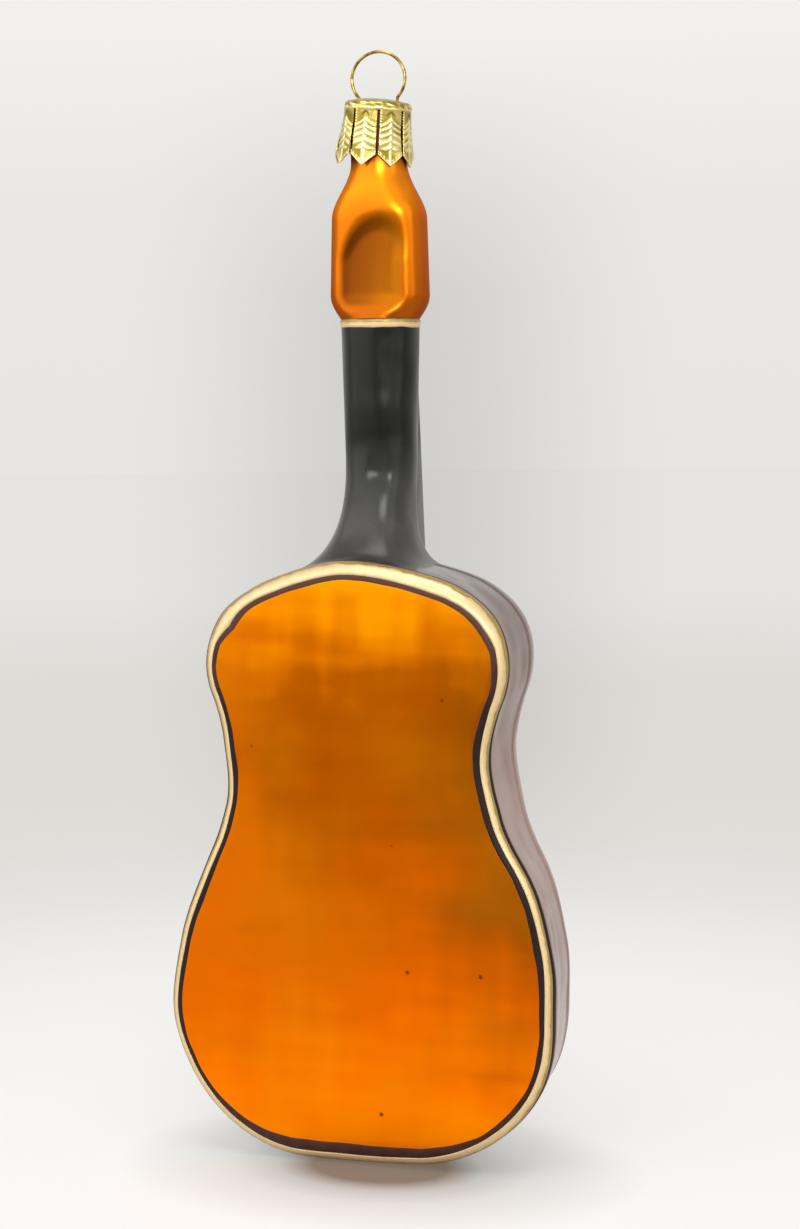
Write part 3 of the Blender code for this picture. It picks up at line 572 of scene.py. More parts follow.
def add_piece(
    name, grids, materials, stands_for=(), body="glass", closed=(False, True), zones=None, keep=None, fields=None
):
    """Turn grids of points, rows by columns, into one object that rides on a body.

    Four neighbouring points make a face. zones gives each face's material, keep says which faces exist,
    and fields are numbers stored at each point.
    """
    grids = grids if isinstance(grids, list) else [grids]
    corners, offset = [], 0
    for grid in grids:
        quads = grid_faces(*grid.shape[:2], closed)
        corners.append((quads.reshape(-1, 4) if keep is None else quads[keep]) + offset)
        offset += grid.shape[0] * grid.shape[1]
    corners = np.concatenate(corners)
    points = np.concatenate([grid.reshape(-1, 3) for grid in grids]) * MM
    points[:, 2] += BODY_BOTTOM
    mesh = bpy.data.meshes.new(name)
    mesh.vertices.add(len(points))
    mesh.vertices.foreach_set("co", points.astype(np.float32).ravel())
    mesh.loops.add(corners.size)
    mesh.loops.foreach_set("vertex_index", corners.astype(np.int32).ravel())
    mesh.polygons.add(len(corners))
    mesh.polygons.foreach_set("loop_start", np.arange(0, corners.size, 4, dtype=np.int32))
    if zones is not None:
        zones = np.broadcast_to(zones, quads.shape[:2])
        mesh.polygons.foreach_set("material_index", zones.astype(np.int32).ravel())
    for field, values in (fields or {}).items():
        attribute = mesh.attributes.new(field, "FLOAT", "POINT")
        values = np.concatenate([np.broadcast_to(values, grid.shape[:2]).ravel() for grid in grids])
        attribute.data.foreach_set("value", values.astype(np.float32))
    mesh.update(calc_edges=True)
    for material in materials:
        mesh.materials.append(material)
    bm = bmesh.new()
    bm.from_mesh(mesh)
    bmesh.ops.remove_doubles(bm, verts=bm.verts, dist=0.002 * MM)
    bmesh.ops.dissolve_degenerate(bm, edges=bm.edges, dist=0.0005 * MM)
    bmesh.ops.recalc_face_normals(bm, faces=bm.faces)
    bm.to_mesh(mesh)
    bm.free()
    mesh.shade_smooth()
    piece = bpy.data.objects.new(name, mesh)
    bpy.context.scene.collection.objects.link(piece)
    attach(piece, body)
    if stands_for:
        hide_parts(*stands_for)
    return piece


# Materials

SOFTLY = {"interpolation_type": "SMOOTHSTEP"}
BLENDED = {"data_type": "RGBA"}
MULTIPLIED = {"data_type": "RGBA", "blend_type": "MULTIPLY"}


def to_linear(colour):
    """An sRGB hex colour as linear: c / 12.92 up to 0.04045, and ((c + 0.055) / 1.055) ^ 2.4 above."""
    channels = [int(colour[i : i + 2], 16) / 255.0 for i in (1, 3, 5)]
    return (*[c / 12.92 if c <= 0.04045 else ((c + 0.055) / 1.055) ** 2.4 for c in channels], 1.0)


def add_node(tree, kind, inputs=None, stops=None, **settings):
    """Add a node, set it up, and feed its sockets by name or number with values or other nodes.

    A colour is an sRGB hex text. stops are the places and colours, or greys, of a ramp.
    """
    node = tree.nodes.new("ShaderNode" + kind)
    for setting, value in settings.items():
        setattr(node, setting, value)
    if stops:
        elements = node.color_ramp.elements
        while len(elements) < len(stops):
            elements.new(0.5)
        for element, (place, colour) in zip(elements, stops):
            element.position = place
            element.color = to_linear(colour) if isinstance(colour, str) else (colour, colour, colour, 1.0)
    for name, value in (inputs or {}).items():
        by_name = (s for s in node.inputs if s.enabled and s.name == name)
        socket = node.inputs[name] if isinstance(name, int) else next(by_name)
        if isinstance(value, bpy.types.Node):
            value = next(s for s in value.outputs if s.enabled)
        if isinstance(value, bpy.types.NodeSocket):
            tree.links.new(value, socket)
        else:
            socket.default_value = to_linear(value) if isinstance(value, str) else value
    return node


def make_material(name, paint, *settings):
    """A new material whose surface is the shader that paint builds, given what adds a node to the
    material's tree, the object's own coordinates and its settings."""
    material = bpy.data.materials.new(name)
    material.use_nodes = True
    material.node_tree.nodes.clear()
    add = partial(add_node, material.node_tree)
    surface = paint(add, add("TexCoord").outputs["Object"], *settings)
    add("OutputMaterial", {"Surface": surface})
    return material


def body_height(add, where, low, high):
    """The share of the way from one height over the body's bottom, in mm, to another."""
    z = add("SeparateXYZ", {0: where}).outputs["Z"]
    return add("MapRange", {"Value": z, "From Min": BODY_BOTTOM + low * MM, "From Max": BODY_BOTTOM + high * MM})


# Tones by height: bright orange at the bottom and top and brown at the waist, painted light and shade
AMBER_TONES_WITH_PAINTED_LIGHT = [
    (0.03, "#FF8800"),
    (0.14, "#F87800"),
    (0.27, "#E66600"),
    (0.45, "#D06000"),
    (0.60, "#BA5600"),
    (0.74, "#AC5000"),
    (0.81, "#B45800"),
    (0.87, "#DA7200"),
    (0.95, "#FA9602"),
]
AMBER_STROKES = ((16.0, 30.0, 3.6), (4.5, 30.0, 16.0), (15.0, 30.0, 13.0))


def amber_panel_lacquer(add, where):
    """Transparent amber lacquer sprayed over silvered glass, rubbed satin. The silver behind it makes it glow like
    metal. Painted shade makes it browner at the waist and towards +X, and painted light makes it brighter at the
    bottom, where it is redder, at the top and towards -X. It is wiped in crossed strokes, with thin yellow patches
    and a few specks of grit."""
    patches = None
    for reach in AMBER_STROKES:
        stretch = [1.0 / (mm * MM) for mm in reach]
        stretched = add("VectorMath", {0: where, 1: stretch, 2: (2.3, 0.0, 5.1)}, operation="MULTIPLY_ADD")
        strokes = add("TexNoise", {"Vector": stretched, "Scale": 1.0, "Detail": 1.0, "Roughness": 0.4})
        patches = strokes if patches is None else add("Math", {0: patches, 1: strokes}, operation="ADD")
    spread = add("Math", {0: patches, 1: 1.5}, operation="SUBTRACT")
    # By height the tone runs from bright at the bottom to brown at the waist and bright again at the top: painted
    # light and shade
    height = body_height(add, where, 0.0, BODY_LENGTH)
    place = add("Math", {0: spread, 1: 0.15, 2: height}, operation="MULTIPLY_ADD")
    coat = add("ValToRGB", {"Fac": place}, stops=AMBER_TONES_WITH_PAINTED_LIGHT)
    x = add("SeparateXYZ", {0: where}).outputs["X"]
    x = add("Math", {0: spread, 1: 0.01, 2: x}, operation="MULTIPLY_ADD")
    # shade is painted shade, browner towards +X at the waist; light is painted light, brighter towards -X at the
    # waist
    right = add("MapRange", {"Value": x, "From Min": 4.0 * MM, "From Max": 26.0 * MM}, **SOFTLY)
    middle = add("ValToRGB", {"Fac": place}, stops=[(0.14, 0.0), (0.42, 0.75), (0.8, 0.75), (0.94, 0.1)])
    shade = add("Math", {0: right, 1: middle}, operation="MULTIPLY")
    left = add("MapRange", {"Value": x, "From Min": -6.0 * MM, "From Max": -22.0 * MM}, **SOFTLY)
    light = add("Math", {0: left, 1: middle}, operation="MULTIPLY")
    light = add("Math", {0: light, 1: 0.8}, operation="MULTIPLY")
    thin = add("TexNoise", {"Vector": where, "Scale": 1.0 / (17.0 * MM), "Detail": 1.0})
    thin = add("MapRange", {"Value": thin, "From Min": 0.45, "From Max": 0.7, "To Max": 0.2})
    grit = add("TexVoronoi", {"Vector": where, "Scale": 1.0 / (7.0 * MM)})
    grit = add("MapRange", {"Value": grit, "From Min": 0.03, "From Max": 0.06, "To Min": 0.8, "To Max": 0.0})
    for share, tone in ((shade, "#8C4C06"), (light, "#E87404"), (thin, "#D58A0C"), (grit, "#5A2404")):
        coat = add("Mix", {"Factor": share, "A": coat, "B": tone}, **BLENDED)
    fine = add("TexNoise", {"Vector": where, "Scale": 1.0 / (3.0 * MM), "Detail": 3.0})
    rough = add("MapRange", {"Value": fine, "To Min": 0.3, "To Max": 0.4})
    swell = add("Bump", {"Height": patches, "Strength": 0.12, "Distance": 0.3 * MM})
    looks = {"Base Color": coat, "Metallic": 1.0, "Roughness": rough, "Normal": swell}
    return add("BsdfPrincipled", looks)


# From the nut up: lighter to the shoulders, a painted highlight, then from 0.76 very dark, painted shade under the
# cap seen through its slits
COPPER_TONES_WITH_PAINTED_LIGHT = [
    (0.0, "#A85208"),
    (0.2, "#C06204"),
    (0.45, "#CC6A04"),
    (0.6, "#E6840C"),
    (0.7, "#D87A10"),
    (0.76, "#2A1008"),
]


def copper_head_lacquer(add, where):
    """The same lacquer over the silvered head, coppery and glossier. By height it brightens up to the shoulders, a
    painted highlight, and goes very dark at the glass neck under the cap, a painted shade that shows through the
    cap's slits. In its dished back it is darker, partly where the lacquer lies thick and partly painted shade,
    darkest to the upper left."""
    hollow = add("Attribute", attribute_name="hollow").outputs["Fac"]
    height = body_height(add, where, NUT_Z, LIP_Z)
    patches = add("TexNoise", {"Vector": where, "Scale": 1.0 / (6.0 * MM), "Detail": 1.5})
    spread = add("Math", {0: patches, 1: 0.5}, operation="SUBTRACT")
    place = add("Math", {0: spread, 1: 0.2, 2: height}, operation="MULTIPLY_ADD")
    coat = add("ValToRGB", {"Fac": place}, stops=COPPER_TONES_WITH_PAINTED_LIGHT)
    x = add("SeparateXYZ", {0: where}).outputs["X"]
    # across and the lean darken the dish towards its upper left: painted shade on top of the lacquer lying thick in
    # the dish
    across = add("MapRange", {"Value": x, "From Min": -5.0 * MM, "From Max": 4.0 * MM})
    painted_shade_lean = add("Math", {0: height, 1: -0.7, 2: across}, operation="MULTIPLY_ADD")
    dish_tone_and_painted_shade = add("ValToRGB", {"Fac": painted_shade_lean}, stops=[(0.0, "#783800"), (0.4, "#8C4800"), (0.75, "#A45C00")])
    depth = add("MapRange", {"Value": hollow, "From Min": 0.05, "From Max": 0.6}, **SOFTLY)
    looks = {
        "Base Color": add("Mix", {"Factor": depth, "A": coat, "B": dish_tone_and_painted_shade}, **BLENDED),
        "Metallic": 1.0,
        "Roughness": 0.32,
        "Specular Tint": "#D0A890",
        "Coat Weight": 0.08,
        "Coat Roughness": 0.18,
    }
    return add("BsdfPrincipled", looks)


MAROON_TONES = [
    (0.05, "#94786C"),
    (0.28, "#7E5E54"),
    (0.42, "#8C6C60"),
    (0.52, "#8E6E62"),
    (0.62, "#78584C"),
    (0.74, "#644A40"),
    (0.81, "#4A332B"),
    (0.85, "#1C1917"),
]
# By height: the grey stops from 0.84 to 0.94, just over the heel, are a painted reflection, a pale patch on the
# black
BLACK_TONES_WITH_PAINTED_REFLECTION = [
    (0.2, "#1E1410"),
    (0.7, "#1A1210"),
    (0.81, "#38261F"),
    (0.84, "#2A2825"),
    (0.885, "#3C3B38"),
    (0.94, "#2C2C2A"),
    (1.0, "#0C0E0B"),
]
ENAMEL_TOP = 110.0


def dark_enamel(add, where, tones, level, least_rough):
    """Glossy stove enamel, maroon-brown, grey or black by height as its tones say, with the faint waves and hazy
    streaks of a dipped coat. The grey band in the black enamel's tones, over the heel, is a painted reflection."""
    height = body_height(add, where, 0.0, ENAMEL_TOP)
    streaks = add("TexNoise", {"Vector": where, "Scale": 1.0 / (6.0 * MM), "Detail": 3.0})
    place = add("Math", {0: streaks, 1: 0.08, 2: height}, operation="MULTIPLY_ADD")
    # With the black enamel's tones this lays a painted reflection in grey over the heel
    coat = add("ValToRGB", {"Fac": place}, stops=tones)
    rough = add("MapRange", {"Value": streaks, "To Min": least_rough, "To Max": least_rough + 0.14})
    swell = add("TexNoise", {"Vector": where, "Scale": 1.0 / (6.0 * MM), "Detail": 0.0})
    waves = add("Bump", {"Height": swell, "Strength": 0.7, "Distance": 0.9 * MM})
    looks = {"Base Color": coat, "Roughness": rough, "Specular IOR Level": level, "Normal": waves}
    return add("BsdfPrincipled", looks)


GOLD_TONES = [
    (0.1, "#B89C6C"),
    (0.45, "#D8BE90"),
    (0.8, "#C8AC78"),
    (0.93, "#7C682C"),
    (1.05, "#BFA26A"),
    (1.3, "#967E44"),
]


def gold_line_paint(add, where):
    """Bronze powder in varnish, laid on thickly by brush, paler in the middle of the stroke and olive
    where it thins towards one edge."""
    across = add("Attribute", attribute_name="across").outputs["Fac"]
    brush = add("TexNoise", {"Vector": where, "Scale": 1.0 / (1.6 * MM), "Detail": 4.0, "Roughness": 0.6})
    place = add("Math", {0: brush, 1: 0.5, 2: across}, operation="MULTIPLY_ADD")
    coat = add("ValToRGB", {"Fac": place}, stops=GOLD_TONES)
    grain = add("TexNoise", {"Vector": where, "Scale": 1.0 / (0.5 * MM), "Detail": 2.0})
    bumps = add("Bump", {"Height": grain, "Strength": 0.3, "Distance": 0.05 * MM})
    looks = {"Base Color": coat, "Metallic": 0.45, "Roughness": 0.38, "Normal": bumps}
    return add("BsdfPrincipled", looks)


BROWN_TONES = [(0.08, "#402620"), (0.25, "#28110A"), (0.5, "#160702"), (0.85, "#1E0B05"), (1.05, "#482A20")]


def outline_paint(add, where):
    """Dark brown outline colour under and beside the gold, lighter at the body's ends."""
    brush = add("TexNoise", {"Vector": where, "Scale": 1.0 / (2.0 * MM), "Detail": 3.0})
    height = body_height(add, where, 0.0, BODY_LENGTH)
    place = add("Math", {0: brush, 1: 0.2, 2: height}, operation="MULTIPLY_ADD")
    coat = add("ValToRGB", {"Fac": place}, stops=BROWN_TONES)
    return add("BsdfPrincipled", {"Base Color": coat, "Roughness": 0.45, "Specular IOR Level": 0.2})


def gilt_sheet(add, where):
    """Thin stamped sheet under a greenish gold lacquer, with a painted highlight that brightens its embossing and a
    painted shade that turns its hollows olive.
    """
    relief = add("Attribute", attribute_name="relief").outputs["Fac"]
    dents = add("TexNoise", {"Vector": where, "Scale": 1.0 / (1.2 * MM), "Detail": 2.0})
    # The tone follows the relief: olive in the hollows is painted shade, pale on the raised stamping a painted
    # highlight
    place = add("Math", {0: dents, 1: 0.3, 2: relief}, operation="MULTIPLY_ADD")
    coat = add("ValToRGB", {"Fac": place}, stops=[(0.05, "#8E7C30"), (0.3, "#CFBB68"), (0.7, "#EFE0A4")])
    bumps = add("Bump", {"Height": dents, "Strength": 0.4, "Distance": 0.12 * MM})
    looks = {"Base Color": coat, "Metallic": 1.0, "Roughness": 0.33, "Normal": bumps}
    return add("BsdfPrincipled", looks)


def streaked_metal(add, where, size, detail, stops, roughness):
    """Bare polished metal that is darker and brighter in streaks of this size in mm."""
    streaks = add("TexNoise", {"Vector": where, "Scale": 1.0 / (size * MM), "Detail": detail})
    coat = add("ValToRGB", {"Fac": streaks}, stops=stops)
    return add("BsdfPrincipled", {"Base Color": coat, "Metallic": 1.0, "Roughness": roughness})


AMBER = make_material("amber_lacquer_on_silvered_glass", amber_panel_lacquer)
COPPER = make_material("copper_lacquer_on_silvered_glass", copper_head_lacquer)
ENAMEL = make_material("maroon_enamel_on_body", dark_enamel, MAROON_TONES, 0.5, 0.12)
BLACK = make_material("black_enamel_on_neck", dark_enamel, BLACK_TONES_WITH_PAINTED_REFLECTION, 0.26, 0.2)
GOLD = make_material("gold_bronze_paint", gold_line_paint)
BROWN = make_material("brown_outline_paint", outline_paint)
SHEET = make_material("gold_lacquered_tin_sheet", gilt_sheet)
# Brass-plated spring wire, drawn, so it is bright with faint streaks
BRASS_TONES = [(0.35, "#6E5620"), (0.65, "#C4A858")]
WIRE = make_material("brass_plated_wire", streaked_metal, 1.0, 2.0, BRASS_TONES, 0.2)
# Silver mirrored inside the glass, seen through the open lip, greyed by handling
SILVER_TONES = [(0.3, "#B9B4AA"), (0.7, "#DAD7D0")]
SILVER = make_material("silvered_glass", streaked_metal, 2.5, 3.0, SILVER_TONES, 0.25)


# The glass

points, zones = body_points()
add_piece("glass_body", points, [AMBER, ENAMEL, BLACK], ["glass_shell"], zones=zones)

points, zones, hollows = neck_points()
finishes = [BLACK, COPPER, SILVER]
fields = {"hollow": hollows}
add_piece("glass_neck_and_head", points, finishes, ["glass_shell"], zones=zones, fields=fields)


# Painted lines: where they start and stop over the glass, in mm round the edge from the flat panel


def round_body(heights, right, left):
    """Values round the outline from measures at some heights up its +X and its -X side."""
    x, z = BACK_OUTLINE[0].T
    return np.where(x >= 0.0, np.interp(z, heights, right), np.interp(z, heights, left))


def unsteady(seed, waves):
    """A hand's unsteadiness round the body's outline, in waves whose numbers span this range."""
    return wobble(seed, OUTLINE_POINTS, waves)


MEASURED = (0.0, 4.0, 12.0, 25.0, 33.0, 40.0, 55.0, 66.0, 73.0, 77.0, 80.5, 85.0, 88.0)
gold_start = 0.08 * unsteady(11, (5, 60)) + round_body(
    MEASURED,
    (1.2, 1.1, 1.1, 0.95, 1.2, 1.25, 1.4, 1.6, 1.45, 1.35, 0.8, 0.55, 0.75),
    (1.2, 1.1, 0.95, 0.92, 0.9, 0.88, 1.05, 0.95, 0.88, 0.75, -0.1, 0.5, 0.75),
)
gold_stop = 0.08 * unsteady(12, (5, 60)) + round_body(
    MEASURED,
    (3.4, 3.6, 2.9, 2.45, 2.6, 2.7, 3.0, 3.4, 3.6, 3.5, 3.8, 3.9, 3.9),
    (3.4, 3.2, 2.5, 2.2, 2.2, 2.2, 2.2, 2.2, 2.3, 2.5, 2.9, 3.6, 3.9),
)
brown_start = 0.16 * unsteady(13, (6, 60)) + round_body(
    MEASURED,
    (-0.5, 0.2, 0.45, 0.15, 0.15, 0.35, 0.45, 0.6, 0.45, 0.4, 0.0, -0.1, 0.05),
    (-0.5, 0.0, 0.3, 0.2, 0.1, 0.05, 0.25, 0.2, 0.2, -0.05, -1.0, -0.35, 0.05),
)
brown_width = round_body((0.0, 15.0, 60.0, 70.0), (0.5, 0.8, 0.8, 0.45), (0.6, 0.5, 0.5, 0.4))
brown_stop = gold_stop + brown_width + 0.1 * unsteady(14, (6, 70))
front_start = 1.1 + 0.12 * unsteady(21, (5, 60))
front_stop = 2.5 + 0.10 * unsteady(22, (5, 60))
front_brown_start = front_start - 0.6 - 0.25 * unsteady(23, (4, 50))
front_brown_stop = front_stop + 0.3 + 0.1 * unsteady(24, (6, 70))
nut_low = NUT_Z - 1.3 + 0.1 * wobble(31, RING_POINTS, (2, 14))
nut_high = NUT_Z - 0.05 + 0.06 * wobble(32, RING_POINTS, (2, 14))
ring = ROSETTE_RADIUS + 0.05 * wobble(33, ROSETTE_POINTS, (2, 30))

back, front = edge_surface, front_edge_surface
for name, surface, start, stop, height, node, opening in (
    ("gold_line_round_back", back, gold_start, gold_stop, LINE_HEIGHT, "back_gold_line", 0.0),
    ("brown_line_inside_gold", back, brown_start, gold_start + OVERLAP, BROWN_HEIGHT, None, 0.0),
    ("brown_line_outside_gold", back, gold_stop - OVERLAP, brown_stop, BROWN_HEIGHT, None, 0.0),
    ("gold_line_round_front", front, front_start, front_stop, LINE_HEIGHT, "front_gold_line", GOLD_GAP),
    ("brown_line_inside_front_gold", front, front_brown_start, front_start + OVERLAP, BROWN_HEIGHT, None, BROWN_GAP),
    ("brown_line_outside_front_gold", front, front_stop - 0.1, front_brown_stop, BROWN_HEIGHT, None, BROWN_GAP),
    ("gold_band_at_nut", neck_surface, nut_low, nut_high, BAND_HEIGHT, "nut_gold_band", 0.0),
    ("gold_ring_round_soundhole", front_ring_surface, ring, ring + 1.1, BAND_HEIGHT, "soundhole_gold_ring", 0.0),
    ("brown_ring_round_soundhole", front_ring_surface, ring + 1.05, ring + 1.5, BROWN_HEIGHT, None, 0.0),
):
    # Each line is a piece of its own: a closed ring, or open at its top where it meets the neck
    line, share = painted_line(surface, start, stop, height)
    share = np.broadcast_to(share, line.shape[:2])
    if opening:
        line, share = (np.roll(a, line.shape[1] // 2, axis=1) for a in (line, share))
        kept = (np.abs(line[0, :, 0]) >= opening) | (line[0, :, 2] < 0.5 * BODY_LENGTH)
        line, share = line[:, kept], share[:, kept]
        ends = [a.mean(axis=0, keepdims=True) + 0.0 * a for a in (line[:, 0], line[:, -1])]
        line = np.concatenate([ends[0][:, None], line, ends[1][:, None]], axis=1)
        share = np.concatenate([share[:, :1], share, share[:, -1:]], axis=1)
    material, slot, stands_for = (GOLD, "gold_paint", [node]) if node else (BROWN, "lacquered_glass", [])
    add_piece(name, line, [material], stands_for, closed=(True, not opening), fields={"across": share})


# Fingerboard, frets, bridge and strings, on the front that the photograph doesn't show


def board_top(z):
    """Depth of the fingerboard's face: level over the body, then in one slope down to the nut."""
    along = np.maximum(z - BOARD_KNEE_Z, 0.0) / (NUT_Z - BOARD_KNEE_Z)
    return BOARD_RISE + mix(FRONT_DEPTH, NECK_FRONT, along)


def board_half(z):
    """Half width of the fingerboard, which tapers evenly to the nut."""
    return mix(BOARD_END_HALF, BOARD_NUT_HALF, (z - BOARD_END_Z) / (BOARD_NUT_Z - BOARD_END_Z))


turn = full_turn(56)[None, :]
z = np.linspace(BOARD_END_Z, BOARD_NUT_Z, 40)[:, None]
end_share = np.concatenate([[0.0, 0.97], np.ones(40), [0.97, 0.0]])[:, None]
z = np.concatenate([z[:1] - 0.25, z[:1] - 0.2, z, z[-1:] + 0.2, z[-1:] + 0.25])
half = 0.5 * (board_top(z) - BOARD_BACK_Y)
x, y = section((board_half(z) * end_share, half * end_share, half * end_share, 9.0), turn)
add_piece("fingerboard", xyz(x, y + BOARD_BACK_Y + half, z), [BLACK])

frets = []
for number in range(1, FRETS + 1):
    fret_z = BRIDGE_Z + (BOARD_NUT_Z - BRIDGE_Z) * 2.0 ** (-number / 12.0)
    reach = board_half(fret_z) - FRET_MARGIN
    frets.append(tube(xyz(np.linspace(-reach, reach, 9), board_top(fret_z), fret_z), FRET_RADIUS, 8))
add_piece("painted_frets", frets, [GOLD], fields={"across": 0.4})

add_piece("bridge", bridge_points(), [BLACK])
saddle = xyz(np.linspace(-SADDLE_HALF, SADDLE_HALF, 15), FRONT_DEPTH + 1.1, BRIDGE_Z + 1.0)
add_piece("painted_saddle", tube(saddle, SADDLE_RADIUS, 10), [GOLD], fields={"across": 0.4})

# Heights and depths of a string's knots, from inside the bridge, over the saddle, to inside the nut
before_nut = BOARD_NUT_Z - 2.0
string_knots = [
    (BRIDGE_Z - 3.0, 7.5),
    (BRIDGE_Z - 0.9, 8.9),
    (BRIDGE_Z + 0.6, 9.5),
    (BOARD_KNEE_Z, board_top(BOARD_KNEE_Z) + 0.45),
    (before_nut, board_top(before_nut) + 0.4),
    (BOARD_NUT_Z - 0.4, board_top(BOARD_NUT_Z) - 0.1),
    (BOARD_NUT_Z + 2.0, 4.0),
]
for number in range(STRINGS):
    place = number - 0.5 * (STRINGS - 1)
    near, far = place * STRING_BRIDGE_SPACING, place * STRING_NUT_SPACING
    knots = [(mix(near, far, (z - BRIDGE_Z) / (BOARD_NUT_Z - BRIDGE_Z)), y, z) for z, y in string_knots]
    string = tube(smooth_path(knots, 14), STRING_RADIUS, 10, across=(1.0, 0.0, 0.0))
    add_piece(f"gilt_string_{number + 1}", string, [WIRE], [f"string_{number + 1}"])


# The stamped cap


def cap_lappet_relief(p, s):
    """Height of a lappet's stamping, in mm, p across it from its middle and s down from the crown.

    A rib down the middle, veins that drop away from it at an even pitch, a row of beads down one edge,
    a raised border and beads along the point, and a dent above the top vein.
    """
    side = np.abs(p)
    rib = RIB_HEIGHT * hump(p, 0.2) * smooth((s - 2.8) / 0.4)
    slope = 0.45 + 0.75 * hump(s - 2.9, 1.2) + 0.3 * hump(side, 0.5)
    phase = (s - slope * side - 2.45) / VEIN_PITCH
    ridge = hump(np.mod(phase, 1.0) - 0.5, 0.24) * (0.55 + 0.45 * smooth(side / 0.8))
    inside = smooth((1.75 - side) / 0.3) * smooth(phase / 0.2) * smooth((8.0 - s - 0.4 * side) / 0.4)
    beads = BEAD_HEIGHT * hump(p + 1.6, 0.17) * np.cos(math.pi * s / BEAD_PITCH) ** 2 * smooth((6.3 - s) / 0.5)
    edge = CAP_SIDE_END + CAP_POINT * (1.0 - side / 1.93) - s
    border = BORDER_HEIGHT * hump(edge - 0.12, 0.14) * smooth((s - 7.0) / 0.5)
    tip = TIP_BEAD_HEIGHT * hump(edge - 0.52, 0.16) * np.cos(math.pi * p / TIP_BEAD_PITCH) ** 2
    dent = DENT_DEPTH * hump(side - (s - 2.0) * 0.8, 0.16) * hump(s - 2.25, 0.35)
    return rib + VEIN_HEIGHT * ridge * inside + beads + border + tip * smooth((s - 7.1) / 0.4) - dent


def cap_points():
    """The cap's outside, rows from the crown to the lappets' points, with eight lappets side by side,
    which faces exist, and the height of its relief.

    The crown falls with the square of its radius, a quarter round makes the rim, and the skirt flares
    with the square of the way down. Each lappet's rows stretch so that the last one makes its point.
    """
    half = 0.5 * (FULL_TURN / LAPPETS - LAPPET_SLIT / CAP_RADIUS)
    a = np.tile(np.linspace(-1.0, 1.0, LAPPET_COLUMNS), LAPPETS)[None, :]
    lappet = np.repeat(np.arange(LAPPETS), LAPPET_COLUMNS)[None, :]
    turn = FULL_TURN * lappet / LAPPETS + half * a
    flat = CAP_RADIUS - CAP_RIM
    share = np.linspace(0.0, 1.0, 14)[:-1, None]
    crown = (flat * share, CAP_DOME * share**2, 0.2 * share, 1.0 + 0.0 * share)
    bend = np.linspace(0.0, QUARTER, 12)[:-1, None]
    rim_drop = CAP_DOME + CAP_RIM * (1.0 - np.cos(bend))
    rim = (flat + CAP_RIM * np.sin(bend), rim_drop, np.sin(bend), np.cos(bend))
    fall = np.linspace(CAP_DOME + CAP_RIM, CAP_SLIT_TOP, 10)[:-1, None]
    collar = (CAP_RADIUS + 0.0 * fall, fall, 1.0 + 0.0 * fall, 0.0 * fall)
    q = np.linspace(0.0, 1.0, CAP_SKIRT_ROWS)[:, None]
    down = CAP_SLIT_TOP + q * (CAP_SIDE_END - CAP_SLIT_TOP + CAP_POINT * (1.0 - np.abs(a) ** 1.15))
    skirt = (CAP_RADIUS + CAP_FLARE * q**2, down, 1.0 + 0.0 * q, 0.0 * q)
    radius, s, out, up = (
        np.concatenate([np.broadcast_to(v, (len(v), a.shape[1])) for v in values])
        for values in zip(crown, rim, collar, skirt)
    )
    radius = radius + np.array(LAPPET_SPLAYS)[lappet] * smooth((s - CAP_SLIT_TOP) / 6.0)
    round_cap = turn * CAP_RADIUS
    relief = smooth((s - CAP_SLIT_TOP) / 0.3) * cap_lappet_relief(a * half * CAP_RADIUS, s)
    relief = relief + 0.16 * hump(s - 1.05, 0.4) * ripple(round_cap, s * 2.5, 1.6, 8) + 0.06 * hump(s - 1.5, 0.2)
    relief = relief + 0.04 * ripple(round_cap, s, 3.0, 9) * smooth(s / 0.8)
    radius = radius + relief * out
    height = relief * up * smooth(radius / 2.0) - s
    points = xyz(radius * np.cos(turn), radius * np.sin(turn), height)
    keep = np.ones((len(points) - 1, a.shape[1]), bool)
    keep[1 - CAP_SKIRT_ROWS :, LAPPET_COLUMNS - 1 :: LAPPET_COLUMNS] = False
    return points, keep, relief


def as_cap_sits(points):
    """Points of the cap, whose crown's middle is the origin, turned and raised to where it sits askew."""
    return points @ np.array(Euler(CAP_ANGLES).to_matrix()).T + np.array([0.0, 0.0, CAP_CROWN_Z])


points, keep, relief = cap_points()
fields = {"relief": relief / VEIN_HEIGHT}
cap = add_piece("stamped_cap", as_cap_sits(points), [SHEET], ["cap"], "cap", keep=keep, fields=fields)
sheet = cap.modifiers.new("sheet", "SOLIDIFY")
sheet.thickness = CAP_SHEET * MM
sheet.offset = -1.0
turn = RING_TURNS[0, ::7]
rim = HOLE_RADIUS * xyz(np.cos(turn), np.sin(turn), 0.0)
end = np.array([0.0, 0.0, DRILL_HALF_LENGTH])
for side in (-HOLE_SPREAD, HOLE_SPREAD):
    drill = np.stack([0.0 * rim - end, rim - end, rim + end, 0.0 * rim + end]) + np.array([side, 0.0, 0.0])
    cutter = add_piece("wire_hole", as_cap_sits(drill), [SHEET], body="cap")
    hole = cap.modifiers.new("wire hole", "BOOLEAN")
    hole.operation = "DIFFERENCE"
    hole.solver = "EXACT"
    hole.object = cutter
    # The mesh that the modifiers make takes the place of the cap's own
    graph = bpy.context.evaluated_depsgraph_get()
    made = bpy.data.meshes.new_from_object(cap.evaluated_get(graph))
    cap.modifiers.clear()
    cap.data = made
    bpy.data.objects.remove(cutter)


# The hanging wire

